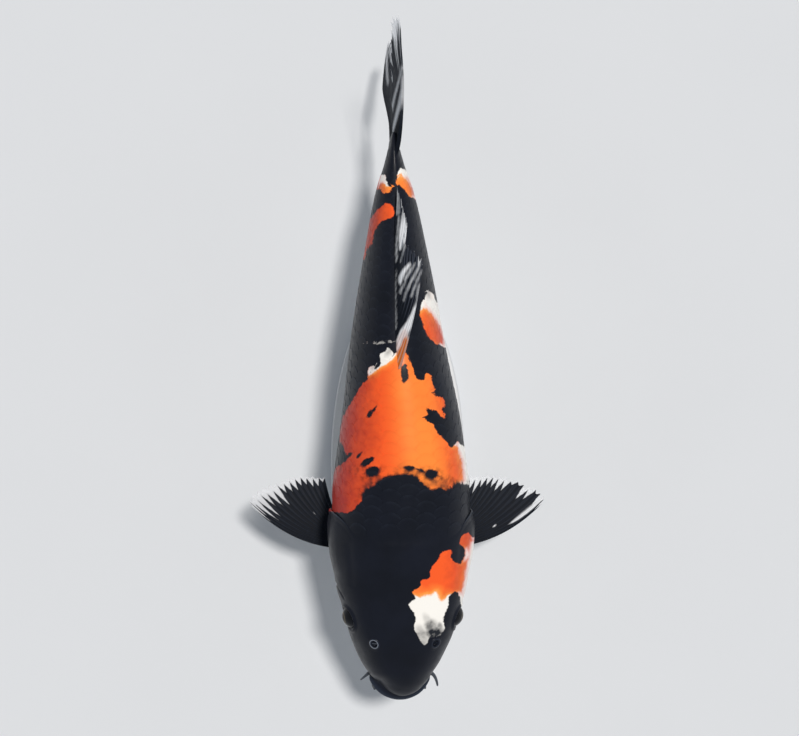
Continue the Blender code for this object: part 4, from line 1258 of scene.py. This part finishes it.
@dataclass(frozen=True)
class Nostril:
    """A nostril: a short raised tube of skin with a flap across its opening, laid on the snout.

    A disc of polar grid points (r, turn) gets the height of the profile at r, and follows
    the head's form below it. The rim and the flap are paler than the skin, partly a painted
    highlight where they catch the light, far stronger on the fish's right.
    """
    skin: Skin
    profile: Rows = (
        (0, -1.5), (1, -1.4), (1.55, -0.9), (1.85, 0.1), (2.1, 0.62), (2.45, 0.85), (2.8, 0.7), (3.2, 0.28),
        (3.8, 0.10), (4.6, 0.04), (5, -0.12))
    radii: Pair = (0.05, 5.0)  # of the first and last ring
    rim: float = 2.45
    flap_height: float = 1.9
    flap_place: float = 0.25
    flap_width: float = 0.42
    flap_ends: Pair = (1.8, 0.9)  # way across from no flap to full height
    pale_rim: Pair = (0.95, 0.38)  # strength and half width
    pale_flap: Triple = (0.8, 0.4, 1.7)  # the same, and the radius inside which it lies
    depth: float = -2.6  # of the point that closes the piece below
    # the fish's right is far paler: partly a painted highlight where its ring catches the light
    pale: Pair = (0.45, 1.7)  # strength on the fish's left and right
    rings: int = 26
    around: int = 48

    def make(self, side: Side, markings: Markings, material: Material) -> None:
        """Build one nostril.

        Args:
            side: the fish's side.
            markings: the patches.
            material: the skin's finish.
        """
        s0, a0 = self.skin.nostril
        a0 = a0 if side is Side.LEFT else 180 - a0
        here = self.skin.surface(np.array([s0, s0]), np.array([a0 - 1, a0 + 1]))
        per_degree = np.linalg.norm(here[1] - here[0]) / 2
        r, turn = np.linspace(*self.radii, self.rings)[:, None], ring_turns(self.around)
        a, b = r * np.cos(turn), r * np.sin(turn)
        across = ease(np.abs(a), *self.flap_ends)
        flap = self.flap_height * bell(b - self.flap_place, self.flap_width) * across
        s, angle = s0 + b, a0 + a / per_degree
        points = self.skin.surface(s, angle, smooth_curve(self.profile, r + 0 * turn) + flap)
        fields = markings.measure(self.skin.body, s, angle, points)
        strength, width, inside = self.pale_flap
        flap = strength * bell(b - self.flap_place, width) * (r < inside)
        strength, width = self.pale_rim
        rim = strength * bell(r - self.rim, width) + 0 * turn
        # pale rim and flap: partly painted highlight, stronger on the fish's right
        fields["lip"] = self.pale[side is Side.RIGHT] * (rim + flap)
        under = self.skin.surface(np.full(1, s0), np.full(1, a0), self.depth)
        outer = (self.rings - 1) * self.around + np.arange(self.around)
        cone = np.stack([outer, np.roll(outer, -1), np.full(self.around, outer[-1] + 1)], axis=1)
        opening = list(range(self.around))
        faces = grid_faces(self.rings, self.around, True)[0].tolist() + [opening] + cone.tolist()
        points = np.concatenate([points.reshape(-1, 3), under])
        fields = {key: value.reshape(r.size * turn.size, -1) for key, value in fields.items()}
        fields = {key: np.concatenate([value, value[-1:]]) for key, value in fields.items()}
        new_piece("koi_nostril_" + side.word, self.skin.body.pose(points), faces, material, "skin",
                  fields=fields)


@dataclass(frozen=True)
class Barbel:
    """A feeler at the mouth: round sections along a smooth path, thick at its root, rounded at its tip."""
    name: str
    paths: tuple[Rows, Rows]  # on the fish's left and right, both written for the left
    thick: Pair  # radius at the root, left and right
    swell: Pair = (0.25, 0.15)  # share by which the root is thicker, and its half length
    taper: float = 0.55  # share of the radius lost on the way to the tip
    tip: Triple = (0.9, 0.1, 0.995)  # share where it rounds off, its length, and how much is used
    steps: int = 26
    sides: int = 14

    def make(self, body: Body, side: Side, material: Material) -> None:
        """Build one feeler, swollen at its root and half round at its tip.

        Args:
            body: the fish's form.
            side: the fish's side.
            material: its finish.
        """
        right = side is Side.RIGHT
        line = smooth_path(self.paths[right], self.steps) * (side.value, 1, 1)
        t = np.linspace(0, 1, self.steps)
        way = np.gradient(line, axis=0)
        way /= np.linalg.norm(way, axis=1, keepdims=True)
        level, upward = square_to(way)
        start, length, used = self.tip
        rounded = dome(np.clip((t - start) / length, 0, used))
        more, reach = self.swell
        radius = self.thick[right] * (1 + more * bell(t, reach)) * (1 - self.taper * t) * rounded
        turn = np.linspace(0, 2 * np.pi, self.sides, endpoint=False)[None, :, None]
        ring = np.cos(turn) * level[:, None] + np.sin(turn) * upward[:, None]
        points = line[:, None] + radius[:, None, None] * ring
        faces = capped_tube(self.steps, self.sides)
        new_piece(f"koi_{self.name}_{side.word}", body.pose(points), faces, material, "skin",
                  f"{self.name}_{side.word}")


UPPER_PATH = ((14.8, 6.4, -11.4), (15.6, 7.1, -14.0), (15.9, 7.8, -17.0))
LOWER_LEFT = ((17.6, 15.8, -13.0), (20.6, 13.1, -14.0), (22.2, 9.9, -14.9), (23.1, 6.3, -16.2))
LOWER_RIGHT = ((17.6, 15.8, -13.0), (20.4, 13.3, -14.0), (21.7, 12.0, -14.8), (22.9, 10.8, -16.2))
BARBELS = (Barbel("barbel_upper", (UPPER_PATH, UPPER_PATH), (0.7, 0.7)),
           Barbel("barbel_lower", (LOWER_LEFT, LOWER_RIGHT), (1.25, 0.95)))


# ---------------- fins
@dataclass(frozen=True)
class Fin:
    """A fan of branching rays in a thin web, from a root line to a ragged line of tips.

    Each ray is a quadratic curve from its root over a middle, moved aside by bow, to its
    tip. Rays are low ribs on both faces, bell(distance to the ray), which fork past mid
    length.

    Attributes:
        root: rows (share across, u, s, v).
        tips: the same at the tips.
        bow: how far the middles of the first and the last ray are moved.
        rays: number of rays.
        thick: thickness at the root.
        clear_from: share of the length where the web starts to clear, along the share across.
        streaks: rows (across, from, to, half width, strength) of pale streaks along rays, a few of them
            painted highlights.
        paint: outlines of pale streaks in plan, each with its strength; one on the dorsal fin is partly a
            painted highlight.
        rust: outlines in plan of rust brown, each with its strength.
        lines: strength of the pale lines along rays.
        ragged: how far the web falls back between tips, as a share of the length.
        sway: sideways place of the upper and the lower lobe along s.
        columns: points across from ray to ray.
        steps: points from root to tip.
        web: thickness away from the root, between ribs and at one.
        root_web: thickness of the web at the root, as a share of thick.
        thin_out: power of the share along by which both thicknesses settle.
        sunk: share along at which the fin begins, inside the body.
        notch: power of the notch between tips.
        vary: spread of the rays' lengths and of the places where the web starts to clear.
        clear_last: latest of those places.
        fork: share along where ribs fork, how far apart they run, and how much lower.
        rib: half width of a rib, and how much narrower it is past its fork.
        fades: depth inside paint and rust, in mm, from none to full.
        line_form: half width of the pale lines, and share along from none to full.
        tail_middle: height of the line between the lobes.
        lobe: least height of a lobe, and limits of the share across it.
        gather: by how much the lobes' middles are gathered in, and s from none to full.
    """
    name: str
    root: Rows
    tips: Rows
    bow: Rows
    rays: int
    thick: float
    clear_from: Rows
    streaks: Rows = ()
    paint: Paint = ()
    rust: Paint = ()
    lines: float = 0.0
    ragged: float = 0.05
    sway: tuple[Rows, Rows] | None = None
    columns: int = 8
    steps: int = 34
    web: Pair = (0.34, 0.62)
    root_web: float = 0.8
    thin_out: float = 0.4
    sunk: float = -0.03
    notch: float = 1.3
    vary: Pair = (0.012, 0.11)
    clear_last: float = 0.97
    fork: Triple = (0.5, 0.2, 0.2)
    rib: Pair = (0.15, 0.05)
    fades: tuple[Pair, Pair] = ((-0.9, 1.0), (-0.7, 0.8))
    line_form: Triple = (0.1, 0.15, 0.5)
    tail_middle: float = 1.0
    lobe: Triple = (4, -0.2, 1.1)
    gather: Triple = (0.3, 344, 357)

    def centre(self, across: Array, along: Array) -> Array:
        """Middle surface of the fin at shares across and along, in the fish's frame."""
        start, end = (np.stack([smooth_curve(row, across, c) for c in (1, 2, 3)], axis=-1)
                      for row in (self.root, self.tips))
        first, last = np.array(self.bow, dtype=float)
        t = along[..., None]
        middle = 0.5 * (start + end) + first + (last - first) * across[..., None]
        grid = (1 - t) ** 2 * start + 2 * t * (1 - t) * middle + t ** 2 * end
        return self.swayed(grid) if self.sway else grid

    def swayed(self, grid: Array) -> Array:
        """Bend the tail's lobes to either side, more outwards, so that their inner edges cross in plan.

        Args:
            grid: points of the fin.
        Returns:
            The moved points.
        """
        s, height = grid[..., 1], grid[..., 2] - self.tail_middle
        inner, outer = (smooth_curve(table, s) for table in (TAIL_INNER, TAIL_OUTER))
        least, *limits = self.lobe
        share = np.clip((np.abs(height) - inner) / np.maximum(outer - inner, least), *limits)
        most, *sets_in = self.gather
        share = share - most * ease(s, *sets_in) * (1 - share)
        upper, lower = (smooth_curve(table, s) for table in self.sway)
        aside = np.where(height > 0, upper, -lower) * share
        return np.stack([grid[..., 0] + aside, s, grid[..., 2]], axis=-1)

    def painted(self, outlines: Paint, plan: tuple[Array, Array], low: float, high: float) -> Array:
        """The strongest of several outlines at plan places, each fading in from low to high mm inside it."""
        return np.max([0 * plan[0]] + [strength * ease(depth_inside(*plan, outline), low, high)
                                       for strength, outline in outlines], axis=0)

    def streaked(self, across: Array, along: Array) -> Array:
        """The strongest of the streaks, each a bell across whose width is a dome along."""
        most = 0 * along
        for middle, low, high, half_width, strength in self.streaks:
            taper = dome(np.clip((along - low) / (high - low), 0, 1) * 2 - 1)
            level = strength * bell(across - middle, half_width * (taper + 0.01)) * (taper > 0)
            most = np.maximum(most, level)
        return most

    def make(self, body: Body, markings: Markings, material: Material, rng: np.random.Generator) -> None:
        """Build the fin.

        Args:
            body: the fish's form.
            markings: for the plan places of painted streaks.
            material: its finish.
            rng: source of the small differences between rays.
        """
        gaps = self.rays - 1
        across = np.linspace(0, 1, gaps * self.columns + 1)[None, :]
        t = np.linspace(self.sunk, 1, self.steps)[:, None]
        ray = across * gaps
        near = np.abs(ray - np.round(ray))
        tip = np.interp(ray, np.arange(self.rays), 1 - np.abs(rng.normal(0, self.vary[0], self.rays)))
        reach = tip - self.ragged * np.sin(np.pi * near) ** self.notch
        along = t * np.where(t > 0, reach, 1.0)
        grid = self.centre(across + 0 * t, along)
        normal = np.cross(np.gradient(grid, axis=0), np.gradient(grid, axis=1))
        normal /= np.maximum(np.linalg.norm(normal, axis=-1, keepdims=True), TINY)
        # past mid length a rib splits in two, each thinner and lower
        begin, apart, lower = self.fork
        fork = np.clip((t - begin) / (1 - begin), 0, 1)
        off_rib = near - apart * fork
        width, narrower = self.rib
        rib = bell(off_rib, width - narrower * fork)
        fade = np.clip(t, 0, 1) ** self.thin_out
        flat, high = self.web
        web = self.thick * self.root_web * (1 - fade) + flat * fade
        ribbed = self.thick * (1 - fade) + (high - lower * fork) * fade
        half = 0.5 * (web + (ribbed - web) * rib)[..., None]
        gap = np.minimum(ray.astype(int), gaps - 1)
        clear = smooth_curve(self.clear_from, across) + rng.normal(0, self.vary[1], gaps)[gap]
        clear = np.minimum(clear, self.clear_last)
        plan = markings.plan(body, grid)
        paint, rust = (self.painted(outlines, plan, *fade)
                       for outlines, fade in zip((self.paint, self.rust), self.fades))
        width, *sets_in = self.line_form
        fields = {"ray": near + 0 * t, "edge": np.clip((along - clear) / (1 - clear), 0, 1),
                  "streak": np.maximum(self.streaked(across, along), paint), "rust": rust,
                  "lines": self.lines * bell(off_rib, width) * ease(along, *sets_in)}
        fields = {key: np.tile(value.ravel(), 2) for key, value in fields.items()}
        points = np.stack([grid + normal * half, grid - normal * half])
        new_piece("koi_" + self.name, body.pose(points), plate_faces(*grid.shape[:2]), material, "fin",
                  self.name, fields=fields, sharp=70)


# height above the axis of the tail's inner and outer edge, along s
TAIL_INNER = ((317, 0), (361, 0.3), (371, 15), (386, 30), (394, 42))
TAIL_OUTER = ((317, 19.2), (396, 47))


def back_fin(body: Body) -> Fin:
    """Dorsal fin: half folded, its tall front rays laid back and over to the left.

    Args:
        body: the fish's form, which the rays grow from.
    Returns:
        The fin.
    """
    root = tuple((a, *body.point(196.0 + 76.0 * a, 90.0, 0.2)) for a in (0.0, 0.3, 0.6, 1.0))
    tips = (
        (0, 14.6, 250.5, 52.5), (0.12, 15, 256, 52), (0.3, 9, 262, 48.5), (0.5, 4.4, 268, 44),
        (0.68, 6.6, 277, 39), (0.85, 4.4, 288, 33.5), (1, 1.5, 299, 29))
    rust = (
        (1, ((-4, 192), (-3.6, 202), (-1.8, 206), (0, 208), (0.8, 211), (2, 213.5), (3.8, 213.5),
         (4.2, 209), (4, 204), (3.6, 192))),
        (0.3, ((-3.2, 203), (-2.8, 208), (-1.6, 213), (0.6, 217), (3, 218.5), (4.2, 214), (3.5, 205),
         (0, 200))))
    paint = (
        (0.9, ((-3.2, 194), (-2.8, 206.5), (-1.2, 213), (3.5, 218), (4.8, 210), (4, 203.5), (3.2, 194))),
        (1, ((-1.4, 206.5), (-2.4, 210.5), (-1.4, 214.5), (0.2, 218), (3.2, 222), (5.6, 226.5),
         (7.2, 230.5), (9.6, 234), (11, 234), (9.6, 228), (7.8, 222), (5.2, 217), (2.6, 213.5),
         (0.8, 209.5), (-0.6, 204.5))),
        (0.7, ((0.8, 197.5), (2, 204.5), (4, 210), (4.4, 204.5), (2.6, 197.5))),
        (0.5, ((4.4, 222.5), (6.8, 230), (9, 235.5), (11.4, 241), (12, 235), (10, 228), (7.2, 221.5))),
        (1, ((-1.2, 244.5), (-1.4, 248), (0.2, 252), (3, 255), (5, 257), (5.8, 255.5), (3.2, 252),
         (1.4, 248.5), (0, 244))),
        (0.6, ((1.2, 246.5), (3.8, 251.5), (6.8, 255.5), (8.4, 257), (7.6, 254.5), (5, 250), (2.6, 246))),
        (0.6, ((3, 240.5), (4.6, 245.5), (7.2, 250), (10, 255), (11.6, 258), (11.4, 255), (8.8, 249.5),
         (5.8, 244.5), (4, 239.5))),
        (0.45, ((5, 237), (6.8, 242), (9, 247.5), (11, 252), (12.2, 252.5), (10.2, 246.5), (7.8, 241),
         (6.2, 236))),
        (0.45, ((-1.4, 239.5), (0.2, 243), (2.4, 246.5), (3.2, 246), (1.2, 241.5), (-0.2, 237.5))),
        (0.3, ((0.6, 234.5), (2, 239.5), (4.4, 245), (5.2, 244), (3.6, 238.5), (1.8, 233.5))),
        (0.4, ((8.4, 235), (8.8, 240.5), (10.2, 245), (12.2, 244.5), (11.6, 239), (10.2, 234))),
        # this pale patch on the folded rear rays is partly a painted highlight where the fin catches the
        # light
        (1, ((-1.2, 268.5), (-1.2, 274.5), (-0.2, 280.5), (0.6, 286), (1.8, 286), (2.6, 281),
         (3.6, 277), (3.2, 272.5), (1.8, 268.5), (0, 264), (-1, 264))),
        (0.5, ((-3, 257), (-3, 267), (-2.4, 276), (-1.8, 284), (-0.6, 284.5), (-1.2, 277), (-1.8, 268.5),
         (-1.8, 257))),
        (0.6, ((-0.6, 257), (0.6, 263), (2, 268.5), (3, 267.5), (1.2, 262), (0, 256.5))),
        (0.28, ((-3.4, 217), (-3.5, 235), (-3, 253.5), (-1.9, 253.5), (-2.2, 235), (-1.8, 217))),
        (0.35, ((-5.2, 288.5), (-5.2, 294.5), (-3.8, 299.5), (-2.4, 302), (-1.2, 296.5), (-0.6, 289.5),
         (-0.8, 284.5), (-3.8, 284))))
    bow = ((3.0, -3.0, 5.0), (0.4, -5.0, 4.0))
    return Fin("dorsal_fin", root, tips, bow, rays=20, thick=2.0, clear_from=((0, 0.93), (1, 0.93)),
               paint=paint, rust=rust, lines=0.25)


def side_fin(side: Side) -> Fin:
    """Pectoral fin: spread wide just behind and below the gill cover.

    Args:
        side: the fish's side.
    Returns:
        The fin.
    """
    sign, tip = side.value, 92.0 if side is Side.LEFT else 88.5
    root = tuple((a, sign * u, s, v) for a, u, s, v in (
        (0, 34.6, 87.5, -30), (0.5, 34.4, 94, -31.5), (1, 33.4, 101, -33)))
    tips = tuple((a, sign * (tip - back), s, v) for a, back, s, v in (
        (0, 1.4, 113.5, -37.5), (0.12, 0, 117.5, -38), (0.3, 7, 122.5, -38.5),
        (0.5, 18.5, 127, -38.5), (0.75, 32, 130.5, -38), (1, 46, 130, -36.5)))
    bow = ((sign * 3.0, -11.0, 2.5), (sign * 1.0, -3.0, 2.0))
    if side is Side.LEFT:
        clear = ((0, 0.92), (0.1, 0.84), (0.2, 0.86), (0.45, 0.86), (0.62, 0.8), (0.8, 0.72), (1, 0.68))
        # the second, short streak is a painted highlight: a small glint on the web
        streaks = ((0.13, 0.58, 1.05, 0.035, 1.2), (0.24, 0.43, 0.48, 0.014, 1.0))
    else:
        clear = ((0, 0.96), (0.06, 0.9), (0.1, 0.7), (0.3, 0.64), (0.45, 0.72), (0.7, 0.82), (1, 0.9))
        # this short streak is a painted highlight: a small glint on the web
        streaks = ((0.62, 0.455, 0.49, 0.006, 0.95),)
    return Fin("pectoral_fin_" + side.word, root, tips, bow, rays=16, thick=2.6, clear_from=clear,
               streaks=streaks, lines=0.06, ragged=0.03)


def belly_fins(body: Body) -> list[Fin]:
    """Anal fin, folded back under the tail, and the pair of pelvic fins.

    Args:
        body: the fish's form, which the rays grow from.
    Returns:
        The three fins.
    """
    shared = {"thick": 1.8, "clear_from": ((0, 0.6), (1, 0.5)), "lines": 0.2}
    root = tuple((a, *body.point(258.0 + 22.0 * a, -90.0, 0.2)) for a in (0.0, 0.5, 1.0))
    tips = ((0.0, 1.5, 290.0, -49.0), (0.3, 1.8, 295.0, -46.5), (0.65, 1.0, 298.0, -38.0),
            (1, 0.5, 300, -29.5))
    fins = [Fin("anal_fin", root, tips, ((0.0, -2.0, -2.0),) * 2, rays=8, **shared)]
    for side in Side:
        root = tuple((a, *(body.point(175.0 + 9.0 * a, -60.0 - 15.0 * a, 0.3) * (side.value, 1, 1)))
                     for a in (0.0, 0.5, 1.0))
        tips = tuple((a, side.value * u, s, v) for a, u, s, v in (
            (0, 27, 211, -60), (0.3, 26.5, 218, -60.5), (0.65, 20, 222, -58),
            (1, 11.5, 219, -53.5)))
        bow = ((side.value * 2.5, -1.0, -1.0),) * 2
        fins.append(Fin("pelvic_fin_" + side.word, root, tips, bow, rays=9, **shared))
    return fins


def tail_fins(start: float = 317.6) -> list[Fin]:
    """The two lobes of the forked tail fin, swayed to either side.

    Args:
        start: s where the rays begin, inside the stalk.
    Returns:
        Upper and lower lobe.
    """
    sway = (
        ((317, 0), (322, 2.4), (328, 3.7), (345, 5.4), (356, 5.8), (366, 5.4), (376, 4.7), (388, 4),
         (396, 2)),
        ((317, 0), (328, 1.6), (340, 2), (350, 3.7), (358, 5.5), (364, 6.3), (375, 5.7), (388, 4.2),
         (397, 2.6)))
    upper_paint = (
        (0.8, ((1.5, 369.3), (2, 363.5), (1.8, 356.5), (0.9, 349.5), (-0.9, 343.6), (-2.9, 336.6),
         (-4.7, 330.8), (-5.7, 330.8), (-4.7, 336.6), (-3.2, 343.6), (-1.5, 350.6), (0, 357.6),
         (0.3, 364.7))),
        (0.7, ((0.9, 374), (1.5, 371.7), (-0.6, 362.3), (-3.5, 351.8), (-5.8, 340.1), (-6.7, 338.4),
         (-7, 340.7), (-5, 351.8), (-2, 362.3), (0, 370.5))),
        (0.35, ((-6, 331), (-4.5, 337), (-4.2, 336), (-5.4, 329))))
    lower_paint = (
        (0.8, ((-8.2, 387), (-7.7, 380), (-7.8, 370), (-7.2, 361), (-7.9, 360), (-8.7, 366), (-9, 376),
         (-8.9, 384))),
        (0.8, ((-8.5, 387.4), (-7.7, 386.3), (-8.8, 379.8), (-9.3, 375.2), (-10.2, 371.7),
         (-10.5, 376.3), (-9.3, 382.2))),
        (0.9, ((-7.3, 385.7), (-6.1, 381), (-4.6, 375.2), (-4.5, 371.7), (-5.3, 371.7), (-6.4, 376.3),
         (-7.4, 381))))
    lobes = (("upper", 1, 394.0, ((0, 0.66), (0.3, 0.68), (0.55, 0.93), (1, 1)), upper_paint),
             ("lower", -1, 396.5, ((0, 0.84), (0.4, 0.95), (1, 1)), lower_paint))
    fins = []
    for word, sign, end, clear, paint in lobes:
        root = ((0.0, 0.0, start, 1 + sign * 18.0), (1.0, 0.0, start, 1 + sign * 0.3))
        tips = tuple((a, 0.0, s, 1 + sign * height) for a, s, height in (
            (0.0, end - 0.5, 46.5), (0.16, end, 42.5), (0.42, 386.0, 30.5), (0.72, 371.0, 15.5),
            (1, 361, 0.3)))
        fins.append(Fin("tail_fin_" + word, root, tips, ((0.0, 0.0, 0.0),) * 2, rays=11, thick=3.4,
                        clear_from=clear, paint=paint, lines=0.12, ragged=0.035, sway=sway))
    return fins


# ---------------- stand
@dataclass(frozen=True)
class Stand:
    """Plain display stand: an oval board with a rounded edge and two upright rods with collars."""
    body: Body
    long: float = 224.0
    wide: float = 84.0
    thick: float = 9.0
    middle: float = 134.0  # s above the board's middle
    round_edge: float = 1.4
    groove: Rows = ((-5.0, 0.0), (-5.3, -0.5), (-5.9, -0.5), (-6.2, 0.0))  # inset, height over the top
    rods: tuple[tuple[str, float], ...] = (("front", 112.0), ("rear", 196.0))
    rod_radius: float = 3.2
    collar: float = 6.4
    cup: float = 5.6
    socket: float = 7.0  # how far a rod goes into the belly
    sunk: float = 5.0  # how far it goes into the board

    def turned(self, name: str, centre: Pair, profile: Rows, stretch: Pair,
               around: int, *finish: Material | str) -> None:
        """A closed piece of revolution, or an oval one.

        Args:
            name: the piece's name.
            centre: world place of its axis in mm.
            profile: rows (radius, height), from the middle of the underside to the middle of the top.
            stretch: half axes added to each radius.
            around: points round it.
            finish: its material, slot and frame node.
        """
        table = np.array(profile)
        turn = np.linspace(0, 2 * np.pi, around, endpoint=False)[None, :]
        radius, height = table[:, :1], table[:, 1:]
        x, y = (np.maximum(radius + half, 0) for half in stretch)
        x, y = centre[0] + x * np.cos(turn), centre[1] + y * np.sin(turn)
        points = np.stack([x, y, height + 0 * turn], axis=-1) * MM
        new_piece(name, points, capped_tube(len(table), around), *finish, sharp=35)

    def make(self, lacquer: Material, steel: Material) -> None:
        """Build the board, rods and collars.

        Args:
            lacquer: the board's finish.
            steel: the rods' finish.
        """
        top, bend = self.thick, self.round_edge
        edge = [(-bend + bend * math.cos(a), top - bend + bend * math.sin(a))
                for a in np.radians(np.linspace(0, 90, 7))]
        groove = [(inset, top + height) for inset, height in self.groove]
        profile = ((-20.0, 0.0), (-0.5, 0.0), (0.0, 0.5), (0.0, top - 1.6), *edge, *groove, (-20.0, top))
        self.turned("stand_board", (0.0, self.middle - self.body.mouth_to_middle), profile,
                    (0.5 * self.wide, 0.5 * self.long), 128, lacquer, "stand_lacquer", "stand_base")
        r, collar, cup = self.rod_radius, self.collar, self.cup
        for word, station in self.rods:
            x, y, high = (float(a) for a in self.body.pose(self.body.point(station, -90.0)) / MM)
            profile = (
                (0.5 * r, top - self.sunk), (r, top - self.sunk), (r, top - 0.2), (collar, top - 0.2),
                (collar, top + 2.2), (collar - 0.8, top + 3.0), (r + 0.3, top + 3.0), (r, top + 2.7),
                (r, high - 4.0), (r + 0.4, high - 3.6), (cup, high - 1.4), (cup + 0.2, high + 1.2),
                (r, high + 1.2), (r, high + self.socket), (0.5 * r, high + self.socket))
            self.turned("stand_upright_" + word, (x, y), profile, (0.0, 0.0), 40, steel, "stand_steel",
                        "stand_rod_" + word)


# ---------------- studio
@dataclass(frozen=True)
class Studio:
    """Pale paper floor, soft lights and the camera straight above the fish.

    The key light stands to the fish's left and tail, so that its soft shadow falls to the
    fish's right. The sky is pale at the horizon and dims towards the zenith, as under a
    softbox ring.
    """
    camera_height: float = 1.100  # above the body's axis
    view_width: float = 0.4666  # seen at the axis' height
    sensor: float = 36.0
    far: float = 100.0
    floor_half: float = 15.0
    floor_points: int = 9  # along each side
    key_from: Triple = (0.2, 0.2, 1.0)
    key_angle: float = 7.0
    key_strength: float = 2.5
    key_tint: str = "#FFF9F2"
    horizon: float = 0.66
    zenith: float = 0.27
    sky: str = "#E8EDF3"

    def make(self, body: Body, markings: Markings, paper: Material) -> None:
        """Build floor, lights, sky and camera.

        Args:
            body: the fish's form, for the axis' height.
            markings: for the place the camera stands above.
            paper: the floor's finish.
        """
        side, count = np.linspace(-self.floor_half, self.floor_half, self.floor_points), self.floor_points
        x, y = np.meshgrid(side, side)
        mesh = bpy.data.meshes.new("studio_floor")
        flat = np.stack([x, y, 0 * x], axis=-1).reshape(-1, 3)
        mesh.from_pydata(flat, [], grid_faces(count, count, False)[0].tolist())
        mesh.materials.append(paper)
        linked("studio_floor", mesh)
        sun = bpy.data.lights.new("key", "SUN")
        sun.energy = self.key_strength
        sun.angle = math.radians(self.key_angle)
        sun.color = colour(self.key_tint)[:3]
        toward = mathutils.Vector(self.key_from).to_track_quat("Z", "Y")
        linked("key", sun).rotation_euler = toward.to_euler()
        self.light_sky()
        data = bpy.data.cameras.new("camera")
        data.sensor_width = self.sensor
        data.lens = self.sensor * self.camera_height / self.view_width
        data.clip_end = self.far
        camera = linked("camera", data)
        camera.location = (*(a * MM for a in markings.middle), body.axis_height * MM + self.camera_height)
        bpy.context.scene.camera = camera
        bpy.context.scene.view_settings.view_transform = "Standard"

    def light_sky(self) -> None:
        """Give the world its sky, whose strength runs with the height above the horizon."""
        world = bpy.data.worlds.new("sky")
        world.use_nodes = True
        tree = world.node_tree
        background = tree.nodes["Background"]
        where, parts, ramp = (tree.nodes.new("ShaderNode" + kind)
                              for kind in ("TexCoord", "SeparateXYZ", "MapRange"))
        ramp.inputs["To Min"].default_value = self.horizon
        ramp.inputs["To Max"].default_value = self.zenith
        tree.links.new(where.outputs["Generated"], parts.inputs[0])
        tree.links.new(parts.outputs["Z"], ramp.inputs["Value"])
        tree.links.new(ramp.outputs[0], background.inputs["Strength"])
        background.inputs["Color"].default_value = colour(self.sky)
        bpy.context.scene.world = world


def main() -> None:
    """Build every piece of the fish, its stand and the studio."""
    logging.basicConfig(level=logging.INFO, format="%(message)s")
    rng = np.random.default_rng(SEED)
    body, markings = Body(), Markings()
    bare, scaled = (WetSkin(name, scales, markings.spots).build()
                    for name, scales in (("bare fish skin, wet", False), ("scaled fish skin, wet", True)))
    web, gloss, feeler = FinWeb().build(), EyeGloss().build(), FEELER.build()
    skin = Skin(body)
    skin.make(markings, bare)
    ScaleCoat(body, skin).make(markings, scaled, rng)
    for side in Side:
        Eye(skin).make(side, gloss)
        Nostril(skin).make(side, markings, bare)
        for barbel in BARBELS:
            barbel.make(body, side, feeler)
    for fin in [back_fin(body), *belly_fins(body), side_fin(Side.LEFT), side_fin(Side.RIGHT), *tail_fins()]:
        fin.make(body, markings, web, rng)
    Stand(body).make(LACQUER.build(), STEEL.build())
    Studio().make(body, markings, PAPER.build())


if __name__ == "__main__":
    main()
